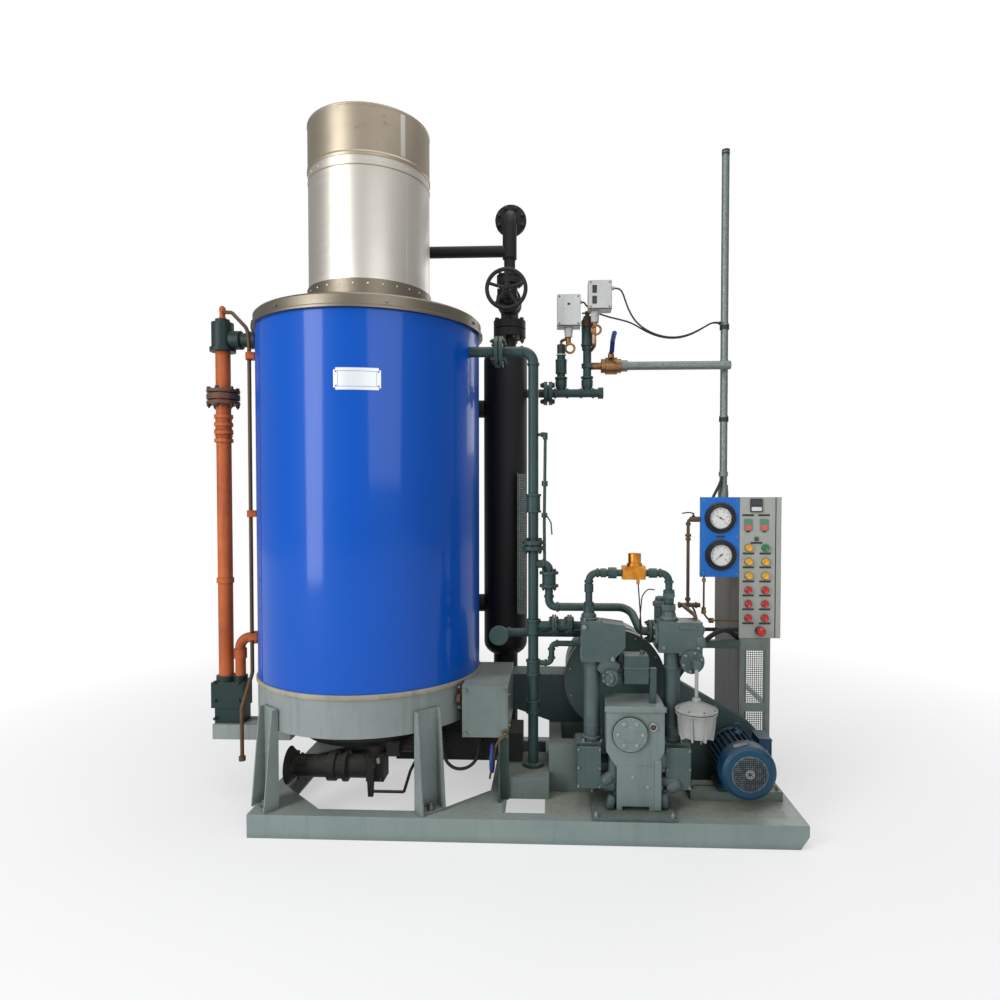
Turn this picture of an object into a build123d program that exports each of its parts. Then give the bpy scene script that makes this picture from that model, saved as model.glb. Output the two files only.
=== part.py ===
from build123d import *
from math import cos, pi, radians, sin, sqrt, tan
import os

# Coil-type steam generator on a skid, in millimetres.
# The origin is the middle of the skid's underside, +X runs from the boiler
# to the control panel, +Y away from the operator's side and +Z up.

# Driving dimensions: skid
SKID_LENGTH = 2120.0
SKID_WIDTH = 900.0
SKID_HEIGHT = 90.0
CHANNEL_FLANGE = 60.0
CHANNEL_WALL = 8.0
DECK_THICK = 6.0
NOSE_LENGTH = 32.0
NOSE_HEIGHT = 48.0
GUSSET_LEG = 200.0
BAY_LEFT = -84.0
BAY_RIGHT = 81.0
ANCHOR_RADIUS = 9.0
ANCHOR_INSET_X = 560.0

# Driving dimensions: boiler
BOILER_X = -688.0
SHELL_RADIUS = 475.0
SHELL_WALL = 6.0
SKIRT_BOTTOM = 394.0
SKIRT_TOP = 541.0
BAND_HEIGHT = 20.0
BAND_PROUD = 7.0
JACKET_HEIGHT = 1445.0
LID_HEIGHT = 57.0
LID_PROUD = 8.0
LEG_ANGLE = 50.0
LEG_WIDTH = 104.0
LEG_TOP = 480.0
LEG_TOP_REACH = 19.0
LEG_FOOT_REACH = 56.0
LEG_PLATE = 7.0
STACK_RADIUS = 258.0
STACK_WALL = 4.0
STACK_STEP = 1.2
STACK_LOWER_LENGTH = 622.0
STACK_UPPER_LENGTH = 195.0
COLLAR_HEIGHT = 120.0
FLOOR_THICK = 8.0
BURNER_RADIUS = 320.0
BURNER_DEPTH = 96.0

# Driving dimensions: air supply
DUCT_FRONT = 105.0
DUCT_DEPTH = 150.0
DUCT_TOP = 500.0
DUCT_BOTTOM = 285.0
FAN_X = 379.0
FAN_Z = 521.0
FAN_RADIUS = 205.0
GUARD_FRONT = -60.0
GUARD_DEPTH = 50.0
GUARD_RADIUS = 216.0
GUARD_HALF_WIDTH = 135.0
GUARD_END = 976.0
GUARD_CORNER = 38.0
SHEET = 4.0

# Driving dimensions: steam side
SEPARATOR_X = -115.0
SEPARATOR_Y = 320.0
SEPARATOR_RADIUS = 104.0
SEPARATOR_BOTTOM = 537.0
SEPARATOR_TOP = 2035.0
POST_RADIUS = 58.0
STEAM_X = -95.0
STEAM_PIPE_RADIUS = 27.0
STEAM_FLANGE_RADIUS = 77.0
HANDWHEEL_RADIUS = 95.0
HANDWHEEL_Y = 62.0
VALVE_Z = 2231.0
RISER_TOP = 2672.0
HEADER_Z = 1806.0
HEADER_END = 354.0
PIPE_RADIUS = 20.0

# Driving dimensions: water side
MAIN_PIPE_X = 30.0
MAIN_PIPE_Y = -130.0
MAIN_PIPE_RADIUS = 21.5
MAIN_PIPE_TOP = 1910.0
WATER_PIPE_X = -1326.0
WATER_PIPE_Y = -50.0
WATER_PIPE_RADIUS = 31.0

# Driving dimensions: pump
PUMP_Y = -280.0
PUMP_FRONT = -380.0
PUMP_BACK = -206.0
CRANKCASE_LEFT = 317.0
CRANKCASE_RIGHT = 538.0
CRANKCASE_TOP = 506.0
LEFT_COLUMN_X = 267.0
RIGHT_COLUMN_X = 582.0
COLUMN_RADIUS = 32.0
BASE_PLATE_THICK = 13.0

# Driving dimensions: motor
MOTOR_X = 869.0
MOTOR_Z = 239.0
MOTOR_RADIUS = 100.0
MOTOR_FOOT = 112.0
MOTOR_FAN_END = -352.0
MOTOR_LENGTH = 280.0

# Driving dimensions: panel
PANEL_LEFT = 919.0
PANEL_WIDTH = 153.0
PANEL_FRONT = 0.0
PANEL_DEPTH = 430.0
PANEL_BOTTOM = 695.0
PANEL_HEIGHT = 611.0
PANEL_SHEET = 4.0
DOOR_THICK = 22.0
CONDUIT_RADIUS = 18.0
CONDUIT_TOP = 2980.0

# Clearances
RUNNING_GAP = 0.3
FIT_GAP = 0.3

# Levels worked out from the driving dimensions
DECK_Z = SKID_HEIGHT
JACKET_BOTTOM = SKIRT_TOP + BAND_HEIGHT
JACKET_TOP = JACKET_BOTTOM + JACKET_HEIGHT
LID_TOP = JACKET_TOP + LID_HEIGHT
COLLAR_TOP = LID_TOP + COLLAR_HEIGHT
STACK_SEAM = LID_TOP + STACK_LOWER_LENGTH
STACK_TOP = STACK_SEAM + STACK_UPPER_LENGTH
HALF_LENGTH = SKID_LENGTH / 2
HALF_WIDTH = SKID_WIDTH / 2
PANEL_TOP = PANEL_BOTTOM + PANEL_HEIGHT
PANEL_RIGHT = PANEL_LEFT + PANEL_WIDTH
PANEL_BACK = PANEL_FRONT + PANEL_DEPTH

# Driving dimensions: burner
AIR_BOX_LEFT = -560.0
AIR_BOX_RIGHT = -18.0
AIR_BOX_BOTTOM = 180.0
AIR_BOX_FRONT = -100.0
AIR_BOX_BACK = 80.0
HOSE_LEFT_X = -354.0
HOSE_RIGHT_X = -201.0
HOSE_Y = -124.0
HOSE_TOP = 258.0
GAS_Y = -250.0
GAS_Z = 205.0
GAS_RADIUS = 45.0

# Driving dimensions: left water pipes
TEE_Z = 2013.0
LOWER_BLOCK_BOTTOM = 387.0
LOWER_BLOCK_TOP = 498.0
RETURN_Z = 690.0
TUBE_RADIUS = 8.0
TUBE_ANGLE = 198.5

# Driving dimensions: air supply
COVER_LEFT = -249.0
COVER_RIGHT = -66.0
COVER_BOTTOM = 349.0
COVER_TOP = 554.0
COVER_FRONT = -300.0
BASE_LEFT = BAY_LEFT - 16
BASE_RIGHT = BAY_RIGHT + 16
BASE_TOP = 175.0
BASE_FRONT = -267.0
STAND_LEFT = BASE_RIGHT

# Driving dimensions: fuel valve
POST_LEFT = -104.0
POST_FRONT = -308.0
WHEEL_Y = -294.0
WHEEL_Z = 264.0
WHEEL_X = POST_LEFT - 25
BLUE_RADIUS = 57.0

# Driving dimensions: relief header
HEADER_START = SEPARATOR_X + SEPARATOR_RADIUS - 20
LEFT_BRANCH_X = 153.0
RIGHT_BRANCH_X = 277.5

# Driving dimensions: pressure switches
SWITCH_FRONT = 222.0
SWITCH_DEPTH = 74.0
SWITCH_SIZE = 109.0
GLAND_RADIUS = 9.0
GLAND_LENGTH = 14.0
LEFT_GLAND_LENGTH = 8.0
LEFT_GLAND_Y = 280.0
LEFT_GLAND_Z = 2229.0
RIGHT_GLAND_Z = 2286.0
LEFT_SWITCH_X = 132.0
RIGHT_SWITCH_X = 277.0

# Driving dimensions: ball valve and conduit
BALL_Z = 1935.0
BALL_LEFT = 344.0
BALL_RIGHT = 439.0
BALL_X = (BALL_LEFT + BALL_RIGHT) / 2
CONDUIT_X = 945.0
CONDUIT_Y = 390.0
CABLE_PAIR = 9.6
CONDUIT_GLAND_LENGTH = 33.0

# Driving dimensions: feed pump heads and chests
HEAD_FRONT = -332.0
HEAD_BACK = -222.0
COVER_CENTRE = (406.0, 399.0)
CHEST_TOP = 346.0
CHEST_BOTTOM = 165.0
LEFT_HEAD_BOTTOM = 662.0
RIGHT_HEAD_BOTTOM = 701.0
BYPASS_TOP = 1006.0

# Driving dimensions: pump pipework
FEED_Z = 769.0
SUCTION_Y = -82.0
SUCTION_Z = 728.0
BLANK_X = -113.0
LOOP_Z = 609.0
LOOP_TOP = 692.0

# Driving dimensions: actuator
ACTUATOR_X = 660.0
ACTUATOR_Y = -366.0

# Driving dimensions: electric motor
FIN_COUNT = 28

# Driving dimensions: panel, gauges and lamps
STAND_ANGLE = 30.0
DOOR_GAP = 2.0
GAUGE_LEFT = 752.0
GAUGE_BOTTOM = 960.0
GAUGES = ((835.0, 1216.0), (838.0, 1055.0))
LAMP_COLUMNS = (957.0, 1028.0)
LAMP_ROWS = (1087.0, 1027.0, 966.0, 905.0, 845.0, 784.0)

# Driving dimensions: guard strip
STRIP_LEFT = -52.0
STRIP_RIGHT = -6.0

# Driving dimensions: gauge line
LINE_Y = 8.0
MANIFOLD_Z = 836.0
LINE_TOP = 1210.0

# Driving dimensions: cables and hose
CABLE_RADIUS = 4.0
HOSE_RADIUS = 7.0

os.makedirs("parts", exist_ok=True)


def save(name, shape):
    """Write one piece, or like pieces that share a node."""
    export_step(shape, f"parts/{name}.step")


def fuse(pieces):
    """Join pieces that are one part."""
    whole = pieces[0]
    for piece in pieces[1:]:
        whole = whole + piece
    return whole


def block(low, high):
    """A box between two corners."""
    size = [high[i] - low[i] for i in range(3)]
    centre = [(high[i] + low[i]) / 2 for i in range(3)]
    return Pos(*centre) * Box(*size)


def rod(start, end, radius):
    """A round bar between two points."""
    axis = Vector(*end) - Vector(*start)
    return Solid.make_cylinder(radius, axis.length, Plane(origin=start, z_dir=axis))


def sleeve(start, end, outer, inner):
    """A ring or tube between two points."""
    return rod(start, end, outer) - rod(start, end, inner)


def pipe(points, radius, bend):
    """A pipe along straight runs joined by round bends."""
    path = FilletPolyline(*points, radius=bend) if len(points) > 2 else Polyline(*points)
    start = Vector(*points[0])
    direction = Vector(*points[1]) - start
    return sweep(Plane(origin=start, z_dir=direction) * Circle(radius), path=path)


def without_repeats(points):
    """The same points, each one only once in a row."""
    return [p for i, p in enumerate(points) if i == 0 or p != points[i - 1]]


def turned(profile, x, y, z=0.0):
    """A solid turned about an upright axis, from a list of radius and height."""
    corners = [(r, 0, h) for r, h in without_repeats(profile)]
    face = make_face(Polyline(*corners, close=True))
    return Pos(x, y, z) * revolve(face, Axis.Z, 360)


def turned_along_x(steps, y, z):
    """A solid turned about an axis along X, from a list of X and radius."""
    steps = without_repeats(steps)
    outline = [(steps[0][0], 0.0)] + steps + [(steps[-1][0], 0.0)]
    face = make_face(Polyline(*[(x, y, z + r) for x, r in without_repeats(outline)], close=True))
    return revolve(face, Axis((0, y, z), (1, 0, 0)), 360)


def joint_flanges(centre, axis, radius, thick=13.0, gasket=3.0):
    """Two pipe flanges with the gasket between them."""
    centre = Vector(*centre)
    axis = Vector(*axis)
    outer = gasket / 2 + thick
    disc = rod(centre - axis * outer, centre + axis * outer, radius)
    groove = sleeve(centre - axis * (gasket / 2), centre + axis * (gasket / 2), radius + 1, radius * 0.72)
    return disc - groove


def upright_profile(points, front, depth):
    """A plate or casting drawn as seen from the front, from X and Z."""
    face = make_face(Polyline(*[(x, front, z) for x, z in points], close=True))
    return extrude(face, amount=depth, dir=(0, 1, 0))


# Skid frame: side and end channels, cross members and corner plates
def channel_x(y_web, inward, length_from, length_to, height=SKID_HEIGHT):
    """A channel along X with its web at y_web and its flanges inward."""
    y_tip = y_web + inward * CHANNEL_FLANGE
    low_y, high_y = min(y_web, y_tip), max(y_web, y_tip)
    bar = block((length_from, low_y, 0), (length_to, high_y, height))
    hollow_from = y_web + inward * CHANNEL_WALL
    hollow_low, hollow_high = min(hollow_from, y_tip), max(hollow_from, y_tip)
    hollow = block((length_from, hollow_low, CHANNEL_WALL), (length_to, hollow_high, height - CHANNEL_WALL))
    return bar - hollow


def channel_y(x_web, inward, height=SKID_HEIGHT):
    """A channel across the skid with its web at x_web."""
    x_tip = x_web + inward * CHANNEL_FLANGE
    reach = HALF_WIDTH - CHANNEL_WALL
    low_x, high_x = min(x_web, x_tip), max(x_web, x_tip)
    bar = block((low_x, -reach, 0), (high_x, reach, height))
    hollow_from = x_web + inward * CHANNEL_WALL
    hollow_low, hollow_high = min(hollow_from, x_tip), max(hollow_from, x_tip)
    hollow = block((hollow_low, -reach, CHANNEL_WALL), (hollow_high, reach, height - CHANNEL_WALL))
    return bar - hollow


def corner_plate(x, y, along_x, along_y):
    """A triangular plate in a corner of the boiler bay."""
    outline = Polyline(
        (x, y), (x + along_x * GUSSET_LEG, y), (x, y + along_y * GUSSET_LEG), close=True
    )
    return Pos(0, 0, SKID_HEIGHT - CHANNEL_WALL) * extrude(make_face(outline), CHANNEL_WALL)


deck_under = SKID_HEIGHT - DECK_THICK
inner_y = HALF_WIDTH - CHANNEL_FLANGE
bay_low_x = -HALF_LENGTH + CHANNEL_FLANGE
bay_high_x = BAY_LEFT - CHANNEL_FLANGE
deck_high_x = HALF_LENGTH - CHANNEL_FLANGE

skid = [
    channel_x(-HALF_WIDTH, 1, -HALF_LENGTH, HALF_LENGTH),
    channel_x(HALF_WIDTH, -1, -HALF_LENGTH, HALF_LENGTH),
    channel_y(-HALF_LENGTH, 1),
    channel_y(HALF_LENGTH, -1),
    channel_y(BAY_LEFT, -1),
    channel_y(BAY_RIGHT, 1, deck_under),
]
for cross_x in (500.0, 780.0):
    skid.append(channel_y(cross_x, 1, deck_under))
for corner_x, way in ((bay_low_x, 1), (bay_high_x, -1)):
    for side in (-1, 1):
        skid.append(corner_plate(corner_x, side * inner_y, way, -side))
skid_frame = fuse(skid)
nose = Polyline(
    (HALF_LENGTH - NOSE_LENGTH, -HALF_WIDTH, 0),
    (HALF_LENGTH + 1, -HALF_WIDTH, 0),
    (HALF_LENGTH + 1, -HALF_WIDTH, NOSE_HEIGHT),
    (HALF_LENGTH, -HALF_WIDTH, NOSE_HEIGHT),
    close=True,
)
skid_frame = skid_frame - extrude(make_face(nose), amount=SKID_WIDTH, dir=(0, 1, 0))
anchor_y = HALF_WIDTH - CHANNEL_FLANGE / 2 - CHANNEL_WALL / 2
for anchor_x in (-ANCHOR_INSET_X, ANCHOR_INSET_X):
    for side in (-1, 1):
        foot = (anchor_x, side * anchor_y, -1)
        skid_frame = skid_frame - rod(foot, (anchor_x, side * anchor_y, CHANNEL_WALL + 1), ANCHOR_RADIUS)
save("skid_frame", skid_frame)

deck = block((BAY_RIGHT, -inner_y, deck_under), (deck_high_x, inner_y, SKID_HEIGHT))
save("deck_plate", deck)


# Boiler legs: four bent plates with side flanges that widen towards the foot
def boiler_leg(angle):
    """One leg, drawn on the +X side and turned about the boiler."""
    web_in = SHELL_RADIUS + FIT_GAP
    web_out = web_in + LEG_PLATE
    web = block((web_in, -LEG_WIDTH / 2, DECK_Z), (web_out, LEG_WIDTH / 2, LEG_TOP))
    side = make_face(
        Polyline(
            (web_out, 0, DECK_Z),
            (web_out + LEG_FOOT_REACH, 0, DECK_Z),
            (web_out + LEG_TOP_REACH, 0, LEG_TOP),
            (web_out, 0, LEG_TOP),
            close=True,
        )
    )
    flange = extrude(side, amount=LEG_PLATE, dir=(0, 1, 0))
    foot = block(
        (web_out, -LEG_WIDTH / 2, DECK_Z),
        (web_out + LEG_FOOT_REACH - LEG_PLATE, LEG_WIDTH / 2, DECK_Z + LEG_PLATE),
    )
    leg = fuse([web, Pos(0, -LEG_WIDTH / 2, 0) * flange, Pos(0, LEG_WIDTH / 2 - LEG_PLATE, 0) * flange,
                foot])
    return Pos(BOILER_X, 0, 0) * Rot(0, 0, angle) * leg


leg_angles = (-LEG_ANGLE, LEG_ANGLE, 180 - LEG_ANGLE, 180 + LEG_ANGLE)
save("boiler_legs", Compound([boiler_leg(angle) for angle in leg_angles]))

# Boiler shell: floor, skirt, band, jacket, lid and the two lengths of stack
floor_profile = [
    (BURNER_RADIUS - 60, SKIRT_BOTTOM),
    (SHELL_RADIUS - SHELL_WALL, SKIRT_BOTTOM),
    (SHELL_RADIUS - SHELL_WALL, SKIRT_BOTTOM + FLOOR_THICK),
    (BURNER_RADIUS - 60, SKIRT_BOTTOM + FLOOR_THICK),
]
boiler_floor = turned(floor_profile, BOILER_X, 0)


def shell_ring(bottom, top, outer, wall):
    """An open ring of sheet about the boiler's axis."""
    return sleeve((BOILER_X, 0, bottom), (BOILER_X, 0, top), outer, outer - wall)


save("boiler_skirt", shell_ring(SKIRT_BOTTOM, SKIRT_TOP, SHELL_RADIUS, SHELL_WALL) + boiler_floor)
band_inner = SHELL_RADIUS - SHELL_WALL
band_profile = [
    (band_inner, SKIRT_TOP),
    (SHELL_RADIUS + BAND_PROUD * 0.6, SKIRT_TOP),
    (SHELL_RADIUS + BAND_PROUD, SKIRT_TOP + BAND_HEIGHT * 0.3),
    (SHELL_RADIUS + BAND_PROUD, SKIRT_TOP + BAND_HEIGHT * 0.7),
    (SHELL_RADIUS + BAND_PROUD * 0.6, SKIRT_TOP + BAND_HEIGHT),
    (band_inner, SKIRT_TOP + BAND_HEIGHT),
]
save("skirt_band", turned(band_profile, BOILER_X, 0))
save("boiler_jacket", shell_ring(JACKET_BOTTOM, JACKET_TOP, SHELL_RADIUS, SHELL_WALL))

lid_outer = SHELL_RADIUS + LID_PROUD
lid_hole = STACK_RADIUS - STACK_WALL - 10
lid_profile = [
    (SHELL_RADIUS - SHELL_WALL, JACKET_TOP),
    (lid_outer + 8, JACKET_TOP),
    (lid_outer + 8, JACKET_TOP + 10),
    (lid_outer, JACKET_TOP + 14),
    (lid_outer, LID_TOP - 8),
    (lid_outer - 8, LID_TOP),
    (lid_hole, LID_TOP),
    (lid_hole, LID_TOP - SHELL_WALL),
    (SHELL_RADIUS - SHELL_WALL, LID_TOP - SHELL_WALL),
]
collar_inner = STACK_RADIUS + FIT_GAP
collar_profile = [
    (collar_inner, LID_TOP),
    (collar_inner + 40, LID_TOP),
    (collar_inner + 40, LID_TOP + 6),
    (collar_inner + 6, LID_TOP + 6),
    (collar_inner + 6, COLLAR_TOP),
    (collar_inner, COLLAR_TOP),
]
save("boiler_lid", turned(lid_profile, BOILER_X, 0) + turned(collar_profile, BOILER_X, 0))
save("stack_lower", shell_ring(LID_TOP, STACK_SEAM, STACK_RADIUS, STACK_WALL))
save("stack_upper", shell_ring(STACK_SEAM, STACK_TOP, STACK_RADIUS + STACK_STEP, STACK_WALL))

# Burner: drum below the floor, its air box, and the gas inlet with its valve
drum_profile = [
    (0, SKIRT_BOTTOM - BURNER_DEPTH),
    (BURNER_RADIUS - 30, SKIRT_BOTTOM - BURNER_DEPTH),
    (BURNER_RADIUS, SKIRT_BOTTOM - BURNER_DEPTH + 30),
    (BURNER_RADIUS, SKIRT_BOTTOM - 8),
    (BURNER_RADIUS + 50, SKIRT_BOTTOM - 8),
    (BURNER_RADIUS + 50, SKIRT_BOTTOM),
    (0, SKIRT_BOTTOM),
]
burner_drum = turned(drum_profile, BOILER_X, 0)
drum_bottom = SKIRT_BOTTOM - BURNER_DEPTH
air_box = block((AIR_BOX_LEFT, AIR_BOX_FRONT, AIR_BOX_BOTTOM), (AIR_BOX_RIGHT, AIR_BOX_BACK, drum_bottom))
hose_elbows = []
for hose_x in (HOSE_LEFT_X, HOSE_RIGHT_X):
    hose_elbows.append(block((hose_x - 14, HOSE_Y - 14, HOSE_TOP),
                             (hose_x + 14, AIR_BOX_FRONT, HOSE_TOP + 28)))
save("burner_housing", fuse([burner_drum, air_box] + hose_elbows))

gas_steps = [
    (-968.0, -952.0, 76.0, 62.0),
    (-952.0, -936.0, 60.0, GAS_RADIUS),
    (-936.0, -802.0, GAS_RADIUS, GAS_RADIUS),
    (-802.0, -770.0, 58.0, 58.0),
    (-770.0, -738.0, 50.0, 50.0),
    (-738.0, -722.0, 60.0, 60.0),
    (-722.0, -640.0, GAS_RADIUS, GAS_RADIUS),
]
gas_outline = []
for left, right, radius_left, radius_right in gas_steps:
    gas_outline += [(left, radius_left), (right, radius_right)]
gas_pipe = turned_along_x(gas_outline, GAS_Y, GAS_Z)
gas_valve_left = gas_steps[-1][1]
gas_valve = fuse([
    block((gas_valve_left, GAS_Y - 44, GAS_Z - 45), (gas_valve_left + 72, GAS_Y + 44, GAS_Z + 62)),
    rod((gas_valve_left + 36, GAS_Y, GAS_Z + 60), (gas_valve_left + 36, GAS_Y, drum_bottom), 30),
    rod((gas_valve_left + 30, GAS_Y - 70, GAS_Z + 30), (gas_valve_left + 30, GAS_Y, GAS_Z + 30), 16),
])
gas_lever = fuse([
    upright_profile([(-634, 262), (-598, 262), (-606, 108), (-626, 108)], GAS_Y - 66, 14),
    rod((-616, GAS_Y - 59, 128), (-482, GAS_Y - 59, 128), 6),
    rod((-482, GAS_Y - 59, 128), (-456, GAS_Y - 59, 213), 6),
    rod((-456, GAS_Y - 59, 213), (-456, AIR_BOX_FRONT, 213), 6),
])
save("gas_train", gas_pipe + gas_valve + gas_lever)

# Left side: water tee at the top, long pipe, lower block and the return bend
left_nozzle_x = BOILER_X - sqrt(SHELL_RADIUS**2 - WATER_PIPE_Y**2)
tee = fuse([
    rod((WATER_PIPE_X, WATER_PIPE_Y, 1955), (WATER_PIPE_X, WATER_PIPE_Y, 2063), 46),
    rod((WATER_PIPE_X, WATER_PIPE_Y, 1938), (WATER_PIPE_X, WATER_PIPE_Y, 1955), 54),
    rod((WATER_PIPE_X, WATER_PIPE_Y, 2063), (WATER_PIPE_X, WATER_PIPE_Y, 2078), 30),
    rod((WATER_PIPE_X, WATER_PIPE_Y, TEE_Z - 25), (left_nozzle_x - 30, WATER_PIPE_Y, TEE_Z - 25), 30),
    rod((WATER_PIPE_X + 40, WATER_PIPE_Y, TEE_Z - 25), (WATER_PIPE_X + 84, WATER_PIPE_Y, TEE_Z - 25), 40),
    rod((left_nozzle_x - 52, WATER_PIPE_Y, TEE_Z - 25), (left_nozzle_x - 4, WATER_PIPE_Y, TEE_Z - 25), 38),
])
tee = tee - rod((BOILER_X, 0, 1900), (BOILER_X, 0, 2100), SHELL_RADIUS + LID_PROUD + 8 + FIT_GAP)
save("upper_water_tee", tee)

down_steps = [
    (LOWER_BLOCK_TOP + 24, 31), (930, 31), (930, 36), (952, 36), (952, 31), (1545, 31),
    (1545, 39), (1560, 39), (1560, 33), (1580, 33), (1580, 39), (1595, 39), (1595, 33), (1615, 33),
    (1615, 39), (1630, 39), (1630, 33), (1650, 33), (1650, 39), (1665, 39), (1665, 31),
    (1709, 31), (1709, 68), (1722, 68), (1722, 50), (1730, 50), (1730, 68), (1752, 68), (1752, 50),
    (1760, 50), (1760, 68), (1773, 68), (1773, 31), (1938, 31),
]
down_outline = [(0, down_steps[0][0])] + [(r, z) for z, r in down_steps] + [(0, down_steps[-1][0])]
water_downpipe = turned(down_outline, WATER_PIPE_X, WATER_PIPE_Y)

lower_block = fuse([
    rod((WATER_PIPE_X, WATER_PIPE_Y, LOWER_BLOCK_BOTTOM), (WATER_PIPE_X, WATER_PIPE_Y, LOWER_BLOCK_TOP + 24),
        42),
    block((-1374, WATER_PIPE_Y - 46, LOWER_BLOCK_BOTTOM), (-1232, WATER_PIPE_Y + 46, LOWER_BLOCK_TOP)),
    block((-1362, WATER_PIPE_Y - 38, 320), (-1236, WATER_PIPE_Y + 38, LOWER_BLOCK_BOTTOM)),
    rod((-1262, WATER_PIPE_Y, LOWER_BLOCK_TOP), (-1262, WATER_PIPE_Y, LOWER_BLOCK_TOP + 24), 30),
])
save("lower_water_block", lower_block)
bracket_end = BOILER_X - BURNER_RADIUS - 50 - FIT_GAP
bracket = fuse([
    block((-1362, WATER_PIPE_Y - 60, 312), (bracket_end + 40, WATER_PIPE_Y + 60, 320)),
    block((-1362, WATER_PIPE_Y - 60, 256), (bracket_end + 40, WATER_PIPE_Y - 52, 312)),
    block((-1362, WATER_PIPE_Y + 52, 256), (bracket_end + 40, WATER_PIPE_Y + 60, 312)),
    block((bracket_end + 32, WATER_PIPE_Y - 60, 256),
          (bracket_end + 40, WATER_PIPE_Y + 60, SKIRT_BOTTOM - 8)),
])
bracket = bracket - rod((BOILER_X, 0, 200), (BOILER_X, 0, SKIRT_BOTTOM), BURNER_RADIUS + FIT_GAP)
save("pipe_bracket", bracket)
return_points = [
    (-1262, WATER_PIPE_Y, LOWER_BLOCK_TOP + 24),
    (-1262, WATER_PIPE_Y, RETURN_Z),
    (left_nozzle_x - 1, WATER_PIPE_Y, RETURN_Z),
]
return_bend = fuse([
    pipe(return_points, 22, 46),
    rod((-1262, WATER_PIPE_Y, 598), (-1262, WATER_PIPE_Y, 640), 27),
    rod((-1206, WATER_PIPE_Y, RETURN_Z), (-1178, WATER_PIPE_Y, RETURN_Z), 28),
])
return_bend = return_bend - rod((BOILER_X, 0, 500), (BOILER_X, 0, 900), SHELL_RADIUS + FIT_GAP)
save("left_water_pipes", Compound([water_downpipe, return_bend]))

tube_reach = SHELL_RADIUS + 16 + TUBE_RADIUS
tube_x = BOILER_X + tube_reach * cos(radians(TUBE_ANGLE))
tube_y = tube_reach * sin(radians(TUBE_ANGLE))
tube_points = [
    (WATER_PIPE_X, WATER_PIPE_Y, 2078),
    (WATER_PIPE_X, WATER_PIPE_Y, 2112),
    (WATER_PIPE_X + 70, WATER_PIPE_Y - 60, 2092),
    (tube_x - 6, tube_y, 2010),
    (tube_x, tube_y, 1946),
    (tube_x, tube_y, 560),
    (tube_x - 34, tube_y - 30, 420),
    (tube_x - 34, tube_y - 30, 204),
]
drain = fuse([
    pipe(tube_points, TUBE_RADIUS, [12, 34, 60, 60, 60, 60]),
    rod((tube_x - 34, tube_y - 30, 196), (tube_x - 34, tube_y - 30, 214), 14),
])
clip_in = SHELL_RADIUS + FIT_GAP
clips = []
for clip_z in (1896, 1236, 716):
    clip_block = block((clip_in, -22, clip_z - 13), (tube_reach + 2, 22, clip_z + 13))
    bore = rod((tube_reach, 0, clip_z - 14), (tube_reach, 0, clip_z + 14), TUBE_RADIUS + FIT_GAP)
    clips.append(Pos(BOILER_X, 0, 0) * Rot(0, 0, TUBE_ANGLE) * (clip_block - bore))
save("drain_tube", Compound([drain] + clips))

# Air supply: duct, cover box in front of it, fan casing, stand and base
fan_back = DUCT_FRONT + DUCT_DEPTH
duct_start = BOILER_X + sqrt(SHELL_RADIUS**2 - DUCT_FRONT**2) - 60
duct = upright_profile(
    [(duct_start, SKIRT_BOTTOM + 4), (-66, SKIRT_BOTTOM + 4), (-66, DUCT_BOTTOM + 60), (110, DUCT_BOTTOM),
     (FAN_X, DUCT_BOTTOM), (FAN_X, DUCT_TOP), (duct_start, DUCT_TOP)],
    DUCT_FRONT, DUCT_DEPTH)
casing = rod((FAN_X, DUCT_FRONT, FAN_Z), (FAN_X, fan_back, FAN_Z), FAN_RADIUS)
duct = duct - rod((BOILER_X, 0, 200), (BOILER_X, 0, 700), SHELL_RADIUS + BAND_PROUD + FIT_GAP) - casing
save("air_duct", duct.solids().sort_by(Axis.X)[0])
fan_shaft = rod((FAN_X, GUARD_FRONT + GUARD_DEPTH, FAN_Z), (FAN_X, DUCT_FRONT, FAN_Z), 20)
save("fan_casing", casing + fan_shaft)

cover_box = block((COVER_LEFT, COVER_FRONT, COVER_BOTTOM), (COVER_RIGHT, DUCT_FRONT - FIT_GAP, COVER_TOP))
cover_cut = rod((BOILER_X, 0, 200), (BOILER_X, 0, SKIRT_TOP + BAND_HEIGHT + 10),
                SHELL_RADIUS + BAND_PROUD + FIT_GAP)
cover_cut = cover_cut + boiler_leg(-LEG_ANGLE)
save("air_cover_box", cover_box - cover_cut)

base_box = block((BASE_LEFT, BASE_FRONT, DECK_Z), (BASE_RIGHT, 20, BASE_TOP))
base_hollow = block((BASE_LEFT + 8, BASE_FRONT + 8, DECK_Z - 1), (BASE_RIGHT - 8, 12, BASE_TOP - 8))
pipe_base = base_box - base_hollow
stand_outline = Polyline(
    (STAND_LEFT, -190), (300, -190), (300, -110), (150, -110), (150, DUCT_FRONT), (560, DUCT_FRONT),
    (560, fan_back), (STAND_LEFT, fan_back), close=True)
stand = Pos(0, 0, DECK_Z) * extrude(make_face(stand_outline), DUCT_BOTTOM - DECK_Z - 2)
stand_top = DUCT_BOTTOM - 2
stand_saddle = block((FAN_X + 40, DUCT_FRONT, stand_top), (560, fan_back, FAN_Z - 60)) - rod(
    (FAN_X, 0, FAN_Z), (FAN_X, 400, FAN_Z), FAN_RADIUS + FIT_GAP)
stand_saddle = stand_saddle.solids().sort_by(SortBy.VOLUME)[-1]
save("equipment_base", pipe_base + stand + stand_saddle)

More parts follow.
